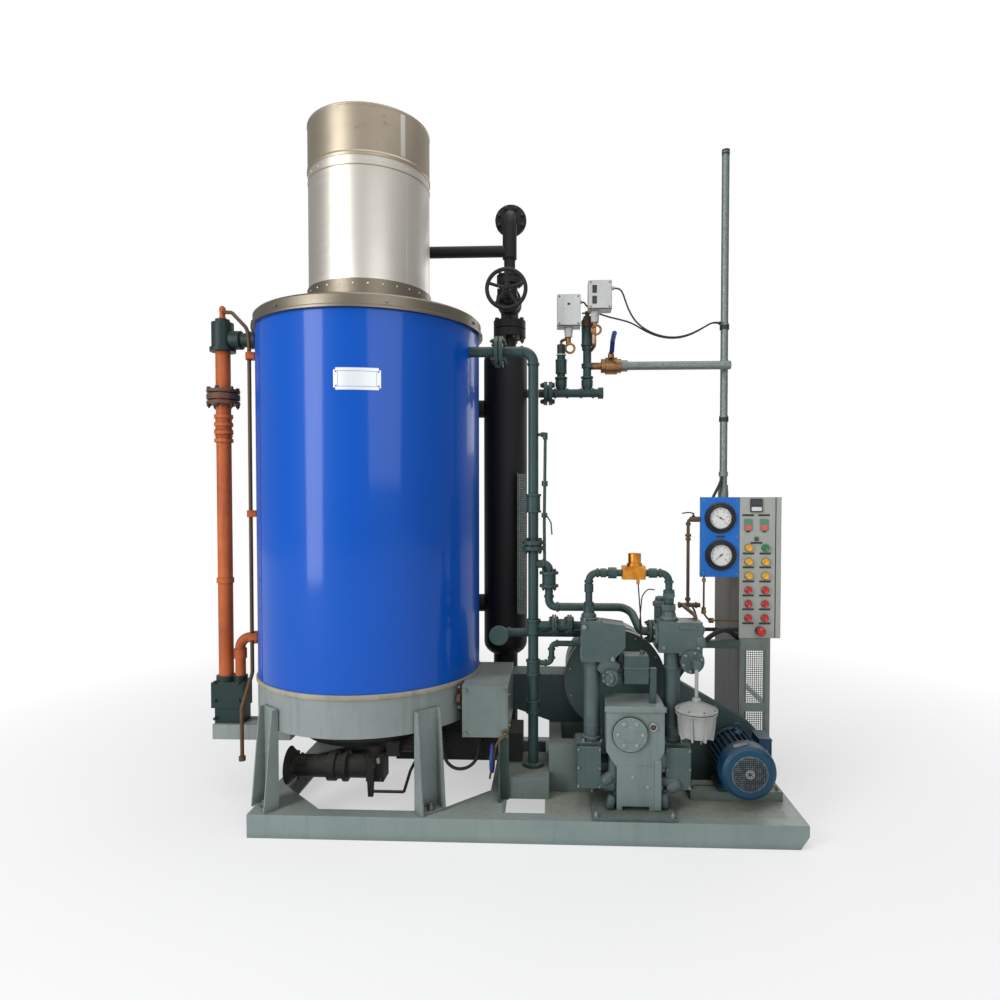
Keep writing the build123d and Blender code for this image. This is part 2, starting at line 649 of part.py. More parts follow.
# Belt guard: round cover over the fan's pulley and a slanted arm to the motor
guard_back = GUARD_FRONT + GUARD_DEPTH
guard_length = sqrt((MOTOR_X - FAN_X) ** 2 + (MOTOR_Z - FAN_Z) ** 2)
normal_x = -(MOTOR_Z - FAN_Z) / guard_length
normal_z = (MOTOR_X - FAN_X) / guard_length
guard_disc = rod((FAN_X, GUARD_FRONT, FAN_Z), (FAN_X, guard_back, FAN_Z), GUARD_RADIUS)


def guard_edge(x, side):
    """Height of the arm's upper or lower edge at x."""
    along = (x - FAN_X) * (MOTOR_Z - FAN_Z) / (MOTOR_X - FAN_X)
    return FAN_Z + along + side * GUARD_HALF_WIDTH / normal_z


arm_corner_x = GUARD_END - GUARD_CORNER
arm_corner_z = guard_edge(arm_corner_x, 1)
guard_arm = upright_profile(
    [
        (FAN_X, guard_edge(FAN_X, 1)),
        (arm_corner_x, arm_corner_z),
        (GUARD_END, arm_corner_z - GUARD_CORNER),
        (GUARD_END, DECK_Z),
        (FAN_X + 330, DECK_Z),
        (FAN_X, guard_edge(FAN_X, -1)),
    ],
    GUARD_FRONT, GUARD_DEPTH)
save("belt_guard", guard_disc + guard_arm)

# Fuel valve on its post, with a blue handwheel
post = fuse([
    block((POST_LEFT, POST_FRONT, DECK_Z), (POST_LEFT + 8, POST_FRONT + 40, COVER_BOTTOM)),
    block((POST_LEFT, POST_FRONT + 32, DECK_Z), (POST_LEFT + 40, POST_FRONT + 40, COVER_BOTTOM)),
    rod((POST_LEFT - 6, WHEEL_Y, WHEEL_Z), (POST_LEFT, WHEEL_Y, WHEEL_Z), 14),
])
stem = rod((WHEEL_X - 14, WHEEL_Y, WHEEL_Z), (POST_LEFT - 6, WHEEL_Y, WHEEL_Z), 5)
save("fuel_valve_post", post + stem)
blue_rim = Pos(WHEEL_X, WHEEL_Y, WHEEL_Z) * Rot(0, 90, 0) * Torus(BLUE_RADIUS - 8, 8)
blue_hub = rod((WHEEL_X - 8, WHEEL_Y, WHEEL_Z), (WHEEL_X + 8, WHEEL_Y, WHEEL_Z), 13)
blue_spokes = []
for a in (90, 210, 330):
    turn_y, turn_z = cos(radians(a)), sin(radians(a))
    blue_spokes.append(rod(
        (WHEEL_X, WHEEL_Y + 9 * turn_y, WHEEL_Z + 9 * turn_z),
        (WHEEL_X, WHEEL_Y + (BLUE_RADIUS - 8) * turn_y, WHEEL_Z + (BLUE_RADIUS - 8) * turn_z), 4.5))
blue_bore = rod((WHEEL_X - 20, WHEEL_Y, WHEEL_Z), (WHEEL_X + 20, WHEEL_Y, WHEEL_Z), 5 + RUNNING_GAP)
blue_wheel = fuse([blue_rim, blue_hub] + blue_spokes) - blue_bore
save("fuel_handwheel", blue_wheel)

# Steam separator: dished vessel on a pipe post, with stubs to the boiler
shoulder = 70.0
vessel_profile = [(0, SEPARATOR_BOTTOM)]
for step in range(1, 7):
    a = radians(15 * step)
    vessel_profile.append((SEPARATOR_RADIUS * sin(a), SEPARATOR_BOTTOM + shoulder * (1 - cos(a))))
for step in range(6, 0, -1):
    a = radians(15 * step)
    vessel_profile.append((SEPARATOR_RADIUS * sin(a), SEPARATOR_TOP - shoulder * (1 - cos(a))))
vessel_profile.append((0, SEPARATOR_TOP))
vessel = turned(vessel_profile, SEPARATOR_X, SEPARATOR_Y)
stub_start = BOILER_X + sqrt(SHELL_RADIUS**2 - SEPARATOR_Y**2) - 40
for stub_z in (1733.0, 793.0):
    vessel = vessel + rod((stub_start, SEPARATOR_Y, stub_z), (SEPARATOR_X, SEPARATOR_Y, stub_z), 30)
    vessel = vessel + rod((-258, SEPARATOR_Y, stub_z), (-216, SEPARATOR_Y, stub_z), 42)
vessel = vessel - rod((BOILER_X, 0, 500), (BOILER_X, 0, 2100), SHELL_RADIUS + FIT_GAP)
separator_post = fuse([
    rod((SEPARATOR_X, SEPARATOR_Y, DECK_Z + 12), (SEPARATOR_X, SEPARATOR_Y, SEPARATOR_BOTTOM + 20),
        POST_RADIUS),
    rod((SEPARATOR_X, SEPARATOR_Y, DECK_Z), (SEPARATOR_X, SEPARATOR_Y, DECK_Z + 12), POST_RADIUS + 28),
])
save("steam_separator", vessel + separator_post)

# Stop valve on top of the separator
flange_z = 2112.0
steam_neck = fuse([
    rod((STEAM_X, SEPARATOR_Y, SEPARATOR_TOP - 20), (STEAM_X, SEPARATOR_Y, flange_z - 39), 31),
    joint_flanges((STEAM_X, SEPARATOR_Y, flange_z), (0, 0, 1), STEAM_FLANGE_RADIUS, 37, 4),
]) - vessel
valve_top_z = 2346.0
valve_front = HANDWHEEL_Y + 60
valve_body = fuse([
    steam_neck,
    rod((STEAM_X, SEPARATOR_Y, flange_z + 38), (STEAM_X, SEPARATOR_Y, VALVE_Z - 20), 42),
    Pos(STEAM_X, SEPARATOR_Y, VALVE_Z) * Sphere(58),
    rod((STEAM_X, SEPARATOR_Y, VALVE_Z + 20), (STEAM_X, SEPARATOR_Y, valve_top_z - 20), 38),
    rod((STEAM_X, SEPARATOR_Y, valve_top_z - 20), (STEAM_X, SEPARATOR_Y, valve_top_z), 62),
    rod((STEAM_X, SEPARATOR_Y, VALVE_Z), (STEAM_X, SEPARATOR_Y - 70, VALVE_Z), 44),
    rod((STEAM_X, SEPARATOR_Y - 92, VALVE_Z), (STEAM_X, SEPARATOR_Y - 64, VALVE_Z), 58),
    rod((STEAM_X, SEPARATOR_Y - 130, VALVE_Z), (STEAM_X, SEPARATOR_Y - 90, VALVE_Z), 26),
    rod((STEAM_X, HANDWHEEL_Y - 22, VALVE_Z), (STEAM_X, SEPARATOR_Y - 128, VALVE_Z), 9),
])
yoke = fuse([
    block((STEAM_X - 44, valve_front, VALVE_Z - 12), (STEAM_X - 32, SEPARATOR_Y - 88, VALVE_Z + 12)),
    block((STEAM_X + 32, valve_front, VALVE_Z - 12), (STEAM_X + 44, SEPARATOR_Y - 88, VALVE_Z + 12)),
    block((STEAM_X - 44, valve_front - 12, VALVE_Z - 16), (STEAM_X + 44, valve_front, VALVE_Z + 16)),
])
save("stop_valve", valve_body + yoke)
wheel_rim = Pos(STEAM_X, HANDWHEEL_Y, VALVE_Z) * Rot(90, 0, 0) * Torus(HANDWHEEL_RADIUS - 9, 9)
wheel_hub = rod((STEAM_X, HANDWHEEL_Y - 12, VALVE_Z), (STEAM_X, HANDWHEEL_Y + 14, VALVE_Z), 20)
wheel_spokes = []
for a in (90, 162, 234, 306, 18):
    reach = HANDWHEEL_RADIUS - 9
    wheel_spokes.append(rod(
        (STEAM_X + 16 * cos(radians(a)), HANDWHEEL_Y, VALVE_Z + 16 * sin(radians(a))),
        (STEAM_X + reach * cos(radians(a)), HANDWHEEL_Y, VALVE_Z + reach * sin(radians(a))), 7))
wheel = fuse([wheel_rim, wheel_hub] + wheel_spokes)
wheel = wheel - rod((STEAM_X, 0, VALVE_Z), (STEAM_X, 200, VALVE_Z), 9 + RUNNING_GAP)
save("stop_handwheel", wheel)

riser = fuse([
    joint_flanges((STEAM_X, SEPARATOR_Y, valve_top_z + 11), (0, 0, 1), 62, 9, 4) - rod(
        (STEAM_X, SEPARATOR_Y, valve_top_z - 40), (STEAM_X, SEPARATOR_Y, valve_top_z), 80),
    pipe([(STEAM_X, SEPARATOR_Y, valve_top_z + 5), (STEAM_X, SEPARATOR_Y, RISER_TOP),
          (STEAM_X, SEPARATOR_Y + 110, RISER_TOP)], STEAM_PIPE_RADIUS, 60),
    rod((STEAM_X, SEPARATOR_Y, 2450), (STEAM_X, SEPARATOR_Y, 2610), 34),
    rod((STEAM_X, SEPARATOR_Y, 2487), (-560, SEPARATOR_Y, 2487), STEAM_PIPE_RADIUS),
    rod((-576, SEPARATOR_Y, 2487), (-558, SEPARATOR_Y, 2487), STEAM_FLANGE_RADIUS),
    rod((STEAM_X, SEPARATOR_Y + 92, RISER_TOP), (STEAM_X, SEPARATOR_Y + 110, RISER_TOP),
        STEAM_FLANGE_RADIUS),
])
save("steam_riser", riser)

# Relief header with its two upright branches
header = fuse([
    rod((HEADER_START, SEPARATOR_Y, HEADER_Z), (HEADER_END, SEPARATOR_Y, HEADER_Z), PIPE_RADIUS),
    joint_flanges((90, SEPARATOR_Y, HEADER_Z), (1, 0, 0), 56, 18, 6),
    rod((LEFT_BRANCH_X, SEPARATOR_Y, HEADER_Z), (LEFT_BRANCH_X, SEPARATOR_Y, 2038), PIPE_RADIUS),
    rod((RIGHT_BRANCH_X, SEPARATOR_Y, HEADER_Z), (RIGHT_BRANCH_X, SEPARATOR_Y, 2169), PIPE_RADIUS),
    rod((LEFT_BRANCH_X, SEPARATOR_Y, 1840), (LEFT_BRANCH_X, SEPARATOR_Y, 1868), 28),
    rod((LEFT_BRANCH_X, SEPARATOR_Y, 1900), (LEFT_BRANCH_X, SEPARATOR_Y, 1960), 27),
    rod((RIGHT_BRANCH_X, SEPARATOR_Y, 1840), (RIGHT_BRANCH_X, SEPARATOR_Y, 1868), 28),
    rod((RIGHT_BRANCH_X, SEPARATOR_Y, 2040), (RIGHT_BRANCH_X, SEPARATOR_Y, 2110), 27),
    rod((HEADER_END - 24, SEPARATOR_Y, HEADER_Z), (HEADER_END, SEPARATOR_Y, HEADER_Z), 27),
]) - vessel
save("relief_header", header.solids().sort_by(Axis.X)[-1])

# Pressure switches on their siphons
switch_y = SWITCH_FRONT + SWITCH_DEPTH / 2
left_side = LEFT_SWITCH_X + SWITCH_SIZE
right_side = RIGHT_SWITCH_X + SWITCH_SIZE
left_switch = block((LEFT_SWITCH_X, SWITCH_FRONT, 2104), (left_side, SWITCH_FRONT + SWITCH_DEPTH, 2251))
left_gland = (left_side, LEFT_GLAND_Y, LEFT_GLAND_Z)
left_switch = left_switch + rod(left_gland, (left_side + LEFT_GLAND_LENGTH, LEFT_GLAND_Y, LEFT_GLAND_Z),
                                GLAND_RADIUS)
right_switch = block((RIGHT_SWITCH_X, SWITCH_FRONT, 2180), (right_side, SWITCH_FRONT + SWITCH_DEPTH, 2314))
right_gland = (right_side, switch_y, RIGHT_GLAND_Z)
right_switch = right_switch + rod(right_gland, (right_side + GLAND_LENGTH, switch_y, RIGHT_GLAND_Z),
                                  GLAND_RADIUS)
save("pressure_switches", Compound([left_switch, right_switch]))
left_siphon = fuse([
    rod((186, switch_y, 2060), (186, switch_y, 2104), 17),
    pipe([(LEFT_BRANCH_X, SEPARATOR_Y, 2038), (LEFT_BRANCH_X, SEPARATOR_Y, 2056), (186, switch_y, 2056),
          (186, switch_y, 2070)], 7, 6),
])
right_siphon = fuse([
    rod((310, switch_y, 2128), (310, switch_y, 2180), 17),
    pipe([(310, switch_y, 2130), (310, switch_y, 2020), (RIGHT_BRANCH_X + PIPE_RADIUS, SEPARATOR_Y, 2010)],
         7, 12),
]) - header
save("switch_siphons", Compound([left_siphon, right_siphon.solids().sort_by(Axis.Z)[-1]]))

# Ball valve on the right branch, with its lever, and the discharge pipe
ball_valve = fuse([
    rod((RIGHT_BRANCH_X + PIPE_RADIUS, SEPARATOR_Y, BALL_Z), (BALL_LEFT, SEPARATOR_Y, BALL_Z), 17),
    rod((BALL_LEFT, SEPARATOR_Y, BALL_Z), (BALL_LEFT + 20, SEPARATOR_Y, BALL_Z), 33),
    rod((BALL_LEFT + 20, SEPARATOR_Y, BALL_Z), (BALL_RIGHT - 20, SEPARATOR_Y, BALL_Z), 40),
    rod((BALL_RIGHT - 20, SEPARATOR_Y, BALL_Z), (BALL_RIGHT, SEPARATOR_Y, BALL_Z), 33),
    rod((BALL_X, SEPARATOR_Y, BALL_Z), (BALL_X, SEPARATOR_Y, BALL_Z + 56), 15),
    rod((BALL_X, SEPARATOR_Y, BALL_Z + 56), (BALL_X, SEPARATOR_Y, BALL_Z + 72), 6),
]) - header
save("ball_valve", ball_valve.solids().sort_by(Axis.X)[-1])
lever_z = BALL_Z + 56 + 2
lever_side = Polyline(
    (0, SEPARATOR_Y + 20, lever_z), (0, SEPARATOR_Y - 40, lever_z), (0, SEPARATOR_Y - 80, lever_z + 40),
    (0, SEPARATOR_Y - 170, lever_z + 55), (0, SEPARATOR_Y - 170, lever_z + 60),
    (0, SEPARATOR_Y - 82, lever_z + 46), (0, SEPARATOR_Y - 42, lever_z + 6),
    (0, SEPARATOR_Y + 20, lever_z + 6),
    close=True)
lever_plate = extrude(make_face(lever_side), amount=22, dir=(1, 0, 0))
lever_grip = rod((0, SEPARATOR_Y - 95, lever_z + 46), (0, SEPARATOR_Y - 172, lever_z + 58), 11)
lever = Pos(BALL_X - 11, 0, 0) * lever_plate + Pos(BALL_X, 0, 0) * lever_grip
lever = lever - rod((BALL_X, SEPARATOR_Y, lever_z - 5), (BALL_X, SEPARATOR_Y, lever_z + 20), 6 + RUNNING_GAP)
save("ball_valve_lever", lever)
discharge = fuse([
    rod((BALL_RIGHT, SEPARATOR_Y, BALL_Z), (CONDUIT_X + 12, SEPARATOR_Y, BALL_Z), PIPE_RADIUS),
    rod((BALL_RIGHT, SEPARATOR_Y, BALL_Z), (BALL_RIGHT + 30, SEPARATOR_Y, BALL_Z), 27),
])
discharge = discharge - rod((BALL_RIGHT + 40, SEPARATOR_Y, BALL_Z), (CONDUIT_X + 20, SEPARATOR_Y, BALL_Z),
                            PIPE_RADIUS - 4)
save("discharge_pipe", discharge)
conduit = fuse([
    rod((CONDUIT_X, CONDUIT_Y, PANEL_TOP), (CONDUIT_X, CONDUIT_Y, CONDUIT_TOP), CONDUIT_RADIUS),
    rod((CONDUIT_X, CONDUIT_Y, PANEL_TOP), (CONDUIT_X, CONDUIT_Y, PANEL_TOP + 60), 23),
    rod((CONDUIT_X, CONDUIT_Y, CONDUIT_TOP - 16), (CONDUIT_X, CONDUIT_Y, CONDUIT_TOP), 19),
    block((CONDUIT_X - 8, SEPARATOR_Y, BALL_Z - 18), (CONDUIT_X + 8, CONDUIT_Y, BALL_Z + 18)) - rod(
        (CONDUIT_X - 30, SEPARATOR_Y, BALL_Z), (CONDUIT_X + 30, SEPARATOR_Y, BALL_Z), PIPE_RADIUS + FIT_GAP),
])
gland_way = Vector(26, 20, 0).normalized()
gland_side = Vector(-20, 26, 0).normalized()
gland_root = Vector(CONDUIT_X, CONDUIT_Y, 2146)
gland_mouth = gland_root - gland_way * CONDUIT_GLAND_LENGTH
conduit = conduit + rod(gland_root, gland_mouth, GLAND_RADIUS + 1)
save("conduit", conduit.solids().sort_by(SortBy.VOLUME)[-1])

# Coil outlet: from the boiler's side down to the base, with its fittings
outlet_start = BOILER_X + sqrt(SHELL_RADIUS**2 - MAIN_PIPE_Y**2) - 20
coil_outlet = fuse([
    pipe([(outlet_start, MAIN_PIPE_Y, MAIN_PIPE_TOP), (MAIN_PIPE_X, MAIN_PIPE_Y, MAIN_PIPE_TOP),
          (MAIN_PIPE_X, MAIN_PIPE_Y, BASE_TOP)], MAIN_PIPE_RADIUS, 48),
    joint_flanges((-113, MAIN_PIPE_Y, MAIN_PIPE_TOP), (1, 0, 0), 64, 14, 5),
    rod((MAIN_PIPE_X, MAIN_PIPE_Y, 1250), (MAIN_PIPE_X, MAIN_PIPE_Y, 1310), 29),
    joint_flanges((MAIN_PIPE_X, MAIN_PIPE_Y, 1104), (0, 0, 1), 49, 15, 8),
    rod((MAIN_PIPE_X, MAIN_PIPE_Y, 735), (MAIN_PIPE_X, MAIN_PIPE_Y, 790), 28),
    rod((MAIN_PIPE_X, MAIN_PIPE_Y, 560), (MAIN_PIPE_X, MAIN_PIPE_Y, 620), 27),
    rod((MAIN_PIPE_X, MAIN_PIPE_Y, 400), (MAIN_PIPE_X, MAIN_PIPE_Y, 450), 26),
    rod((MAIN_PIPE_X, MAIN_PIPE_Y, BASE_TOP), (MAIN_PIPE_X, MAIN_PIPE_Y, BASE_TOP + 14), 44),
]) - rod((BOILER_X, 0, 500), (BOILER_X, 0, 2100), SHELL_RADIUS + FIT_GAP)
save("coil_outlet_pipe", coil_outlet)

# Pump: base plate, crankcase, columns, heads and lower chests
base_plate_top = DECK_Z + BASE_PLATE_THICK
save("pump_base_plate", block((262, -446, DECK_Z), (575, -200, base_plate_top)))
crankcase = upright_profile(
    [(357, base_plate_top), (502, base_plate_top), (502, 267), (CRANKCASE_RIGHT, 330),
     (CRANKCASE_RIGHT, CRANKCASE_TOP),
     (CRANKCASE_LEFT, CRANKCASE_TOP), (CRANKCASE_LEFT, 330), (357, 267)],
    PUMP_FRONT, PUMP_BACK - PUMP_FRONT)
foot_recess = block((378, PUMP_FRONT - 1, base_plate_top), (482, PUMP_FRONT + 30, base_plate_top + 16))
crank_cap = block((CRANKCASE_LEFT + 6, PUMP_FRONT - 6, CRANKCASE_TOP - 24),
                  (CRANKCASE_RIGHT - 2, PUMP_FRONT, CRANKCASE_TOP))
cover = rod((COVER_CENTRE[0], PUMP_FRONT - 9, COVER_CENTRE[1]),
            (COVER_CENTRE[0], PUMP_FRONT, COVER_CENTRE[1]), 66)
save("pump_crankcase", fuse([crankcase - foot_recess, crank_cap, cover]))
left_chest = block((205, HEAD_FRONT, CHEST_BOTTOM), (300, HEAD_BACK, CHEST_TOP))
left_arm = block((300, HEAD_FRONT + 10, 180), (357, HEAD_BACK, 262))
right_chest = block((545, HEAD_FRONT, CHEST_BOTTOM), (645, HEAD_BACK, CHEST_TOP))
right_arm = block((502, HEAD_FRONT + 10, 180), (545, HEAD_BACK, 262))
left_column = rod((LEFT_COLUMN_X, PUMP_Y, CHEST_TOP), (LEFT_COLUMN_X, PUMP_Y, LEFT_HEAD_BOTTOM),
                  COLUMN_RADIUS)
right_column = rod((RIGHT_COLUMN_X, PUMP_Y, CHEST_TOP), (RIGHT_COLUMN_X, PUMP_Y, RIGHT_HEAD_BOTTOM),
                   COLUMN_RADIUS)
save("pump_columns", Compound([left_chest + left_arm + left_column, right_chest + right_arm + right_column]))
left_head = upright_profile(
    [(223, LEFT_HEAD_BOTTOM), (340, LEFT_HEAD_BOTTOM), (393, 720), (393, 806), (290, 820), (223, 820)],
    HEAD_FRONT, HEAD_BACK - HEAD_FRONT)
left_head = left_head + rod((254, PUMP_Y, 820), (254, PUMP_Y, 842), 30)
right_head = block((522, HEAD_FRONT, RIGHT_HEAD_BOTTOM), (690, HEAD_BACK, 820))
right_head = right_head + rod((568, PUMP_Y, 820), (568, PUMP_Y, 842), 28)
save("pump_heads", Compound([left_head, right_head]))

bypass = fuse([
    pipe([(254, PUMP_Y, 842), (254, PUMP_Y, BYPASS_TOP), (384, PUMP_Y, BYPASS_TOP)], 14, 34),
    rod((254, PUMP_Y, 842), (254, PUMP_Y, 878), 22),
    rod((254, PUMP_Y, 930), (254, PUMP_Y, 962), 18),
    rod((300, PUMP_Y, BYPASS_TOP), (322, PUMP_Y, BYPASS_TOP), 18),
    rod((330, PUMP_Y, BYPASS_TOP), (362, PUMP_Y, BYPASS_TOP), 22),
])
bypass_right = fuse([
    pipe([(474, PUMP_Y, BYPASS_TOP), (568, PUMP_Y, BYPASS_TOP), (568, PUMP_Y, 842)], 14, 34),
    rod((568, PUMP_Y, 842), (568, PUMP_Y, 872), 24),
    rod((568, PUMP_Y, 888), (568, PUMP_Y, 926), 20),
    rod((490, PUMP_Y, BYPASS_TOP), (520, PUMP_Y, BYPASS_TOP), 19),
])
save("bypass_pipes", Compound([bypass, bypass_right]))
regulator = fuse([
    block((384, PUMP_Y - 24, 982), (474, PUMP_Y + 24, 1034)),
    rod((433, PUMP_Y, 1034), (433, PUMP_Y, 1044), 30),
    rod((433, PUMP_Y, 1044), (433, PUMP_Y, 1084), 25),
])
save("brass_regulator", regulator)
middle_box = fuse([
    block((388, -345, 582), (481, -262, 690)),
    block((488, -340, CRANKCASE_TOP), (512, -318, 642)),
    block((481, -336, 600), (488, -322, 630)),
])
save("oil_pump_box", middle_box)

# Pump pipework on the back of the heads
discharge_line = fuse([
    pipe([(MAIN_PIPE_X + 15, MAIN_PIPE_Y, 1026), (96, MAIN_PIPE_Y, 1026), (96, MAIN_PIPE_Y, 846),
          (430, MAIN_PIPE_Y, 846), (462, -240, 768), (522, -240, 768)], 17, [24, 30, 60, 24]),
    joint_flanges((96, MAIN_PIPE_Y, 962), (0, 0, 1), 40, 10, 44),
    joint_flanges((506, -240, 768), (1, 0, 0), 46, 10, 4),
]) - coil_outlet
save("pump_discharge_pipe", discharge_line.solids().sort_by(SortBy.VOLUME)[-1])
feed_branch = fuse([
    pipe([(MAIN_PIPE_X + 15, MAIN_PIPE_Y, FEED_Z), (300, MAIN_PIPE_Y, FEED_Z), (300, HEAD_BACK, FEED_Z)], 17,
         40),
    joint_flanges((118, MAIN_PIPE_Y, FEED_Z), (1, 0, 0), 44, 8, 2),
    joint_flanges((182, MAIN_PIPE_Y, FEED_Z), (1, 0, 0), 44, 8, 2),
    rod((118, MAIN_PIPE_Y, FEED_Z), (182, MAIN_PIPE_Y, FEED_Z), 26),
]) - coil_outlet
suction = fuse([
    pipe([(BLANK_X, SUCTION_Y - 66, SUCTION_Z), (BLANK_X, SUCTION_Y, SUCTION_Z), (350, SUCTION_Y, SUCTION_Z),
          (350, HEAD_BACK, SUCTION_Z)], 18, [36, 36]),
    rod((BLANK_X, SUCTION_Y - 80, SUCTION_Z), (BLANK_X, SUCTION_Y - 64, SUCTION_Z), 40),
])
save("suction_pipe", suction)
drain_loop = pipe(
    [(MAIN_PIPE_X + 15, MAIN_PIPE_Y, LOOP_Z), (107, MAIN_PIPE_Y, LOOP_Z), (107, MAIN_PIPE_Y, LOOP_TOP),
     (250, MAIN_PIPE_Y, LOOP_TOP), (250, HEAD_BACK, LOOP_TOP)], 12, [24, 24, 24]) - coil_outlet
save("feed_pipes", Compound([
    feed_branch.solids().sort_by(SortBy.VOLUME)[-1], drain_loop.solids().sort_by(SortBy.VOLUME)[-1]]))

# Actuator beside the pump: ribbed bowl with a bolted lid, hung on its rod
actuator_profile = [
    (0, 392), (56, 392), (70, 478), (78, 480), (78, 496), (70, 502), (36, 516), (12, 524), (7, 530),
    (7, 650), (0, 650),
]
actuator = turned(actuator_profile, ACTUATOR_X, ACTUATOR_Y)
for rib in range(8):
    rib_side = make_face(Polyline((50, 0, 384), (66, 0, 384), (76, 0, 480), (50, 0, 480), close=True))
    rib_plate = Pos(0, -3, 0) * extrude(rib_side, amount=6, dir=(0, 1, 0))
    actuator = actuator + Pos(ACTUATOR_X, ACTUATOR_Y, 0) * Rot(0, 0, 45 * rib + 20) * rib_plate
save("actuator", actuator)
side_cover = fuse([
    rod((650, HEAD_FRONT - 6, 668), (650, HEAD_BACK + 20, 668), 46),
    block((600, HEAD_FRONT, 690), (690, HEAD_BACK + 30, RIGHT_HEAD_BOTTOM)),
    block((ACTUATOR_X - 14, ACTUATOR_Y - 14, 650), (ACTUATOR_X + 14, HEAD_FRONT, 676)),
])
save("head_side_cover", side_cover - right_column - right_head)


# Electric motor: finned body, fan cover and terminal box, on two slide rails
motor_back = MOTOR_FAN_END + MOTOR_LENGTH
fins = []
for index in range(FIN_COUNT):
    angle = 360 / FIN_COUNT * index
    fin = block((MOTOR_RADIUS - 20, -1.8, MOTOR_FAN_END + 92), (MOTOR_RADIUS, 1.8, motor_back - 34))
    fins.append(Rot(0, 0, angle) * fin)
motor_core = rod((0, 0, MOTOR_FAN_END + 86), (0, 0, motor_back - 30), MOTOR_RADIUS - 18)
motor_turned = fuse([motor_core] + fins + [
    rod((0, 0, MOTOR_FAN_END + 74), (0, 0, MOTOR_FAN_END + 92), MOTOR_RADIUS - 2),
    rod((0, 0, motor_back - 34), (0, 0, motor_back - 10), MOTOR_RADIUS - 6),
    rod((0, 0, motor_back - 10), (0, 0, motor_back), 50),
])
motor_body = Pos(MOTOR_X, 0, MOTOR_Z) * Rot(-90, 0, 0) * motor_turned
foot_z = MOTOR_Z - MOTOR_FOOT
feet = [
    block((MOTOR_X - 95, MOTOR_FAN_END + 100, foot_z), (MOTOR_X - 45, motor_back - 50, foot_z + 14)),
    block((MOTOR_X + 45, MOTOR_FAN_END + 100, foot_z), (MOTOR_X + 95, motor_back - 50, foot_z + 14)),
    block((MOTOR_X - 80, MOTOR_FAN_END + 100, foot_z), (MOTOR_X - 66, motor_back - 50, foot_z + 60)),
    block((MOTOR_X + 66, MOTOR_FAN_END + 100, foot_z), (MOTOR_X + 80, motor_back - 50, foot_z + 60)),
]
terminal_box = block((MOTOR_X + 70, MOTOR_FAN_END + 120, MOTOR_Z + 6),
                     (MOTOR_X + 116, MOTOR_FAN_END + 220, MOTOR_Z + 96))
shaft = rod((MOTOR_X, motor_back, MOTOR_Z), (MOTOR_X, GUARD_FRONT - FIT_GAP, MOTOR_Z), 19)
save("motor_body", fuse([motor_body] + feet + [terminal_box, shaft]))
fan_cover = Pos(MOTOR_X, 0, MOTOR_Z) * Rot(-90, 0, 0) * turned(
    [(0, MOTOR_FAN_END), (92, MOTOR_FAN_END), (104, MOTOR_FAN_END + 10), (108, MOTOR_FAN_END + 24),
     (108, MOTOR_FAN_END + 74), (0, MOTOR_FAN_END + 74)], 0, 0)
save("motor_fan_cover", fan_cover)
rails = []
for rail_y in (MOTOR_FAN_END + 130, motor_back - 90):
    rails.append(block((664, rail_y - 24, DECK_Z), (1030, rail_y + 24, foot_z)))
save("motor_rails", Compound(rails))

# Control panel: perforated stand, case, door, gauge plate, gauges and buttons
stand_left = PANEL_LEFT + 2
stand_right = PANEL_RIGHT - 19
stand_high = PANEL_BOTTOM
stand_legs = []
for leg_x, way_x in ((stand_left, 1), (stand_right, -1)):
    for leg_y, way_y in ((PANEL_FRONT, 1), (PANEL_BACK, -1)):
        near = block(
            (min(leg_x, leg_x + way_x * STAND_ANGLE), min(leg_y, leg_y + way_y * SHEET), DECK_Z),
            (max(leg_x, leg_x + way_x * STAND_ANGLE), max(leg_y, leg_y + way_y * SHEET), stand_high))
        far = block(
            (min(leg_x, leg_x + way_x * SHEET), min(leg_y, leg_y + way_y * STAND_ANGLE), DECK_Z),
            (max(leg_x, leg_x + way_x * SHEET), max(leg_y, leg_y + way_y * STAND_ANGLE), stand_high))
        stand_legs.append(near + far)
for shelf_z in (DECK_Z, 400.0, stand_high - SHEET):
    outer = block((stand_left, PANEL_FRONT, shelf_z), (stand_right, PANEL_BACK, shelf_z + SHEET))
    inner = block((stand_left + 26, PANEL_FRONT + 26, shelf_z),
                  (stand_right - 26, PANEL_BACK - 26, shelf_z + SHEET))
    stand_legs.append(outer - inner)
save("panel_stand", fuse(stand_legs))

case = block((PANEL_LEFT, PANEL_FRONT, PANEL_BOTTOM), (PANEL_RIGHT, PANEL_BACK, PANEL_TOP))
case_hollow = block(
    (PANEL_LEFT + PANEL_SHEET, PANEL_FRONT + PANEL_SHEET, PANEL_BOTTOM + PANEL_SHEET),
    (PANEL_RIGHT + 1, PANEL_BACK - PANEL_SHEET, PANEL_TOP - PANEL_SHEET))
door_left = PANEL_RIGHT + DOOR_GAP
door = block((door_left, PANEL_FRONT, PANEL_BOTTOM), (door_left + DOOR_THICK, PANEL_BACK, PANEL_TOP))
door_hollow = block(
    (door_left - 1, PANEL_FRONT + 3, PANEL_BOTTOM + 3),
    (door_left + DOOR_THICK - 3, PANEL_BACK - 3, PANEL_TOP - 3))
save("panel_door", door - door_hollow)
hinge_x = door_left + DOOR_THICK / 2
hinge_y = PANEL_BACK + 7
hinges = []
for hinge_z in (PANEL_BOTTOM + 70, PANEL_TOP - 130):
    hinges.append(fuse([
        rod((hinge_x, hinge_y, hinge_z), (hinge_x, hinge_y, hinge_z + 60), 5),
        block((PANEL_RIGHT - 30, PANEL_BACK, hinge_z), (hinge_x, PANEL_BACK + 4, hinge_z + 26)),
    ]))
save("panel_case", fuse([case - case_hollow] + hinges))

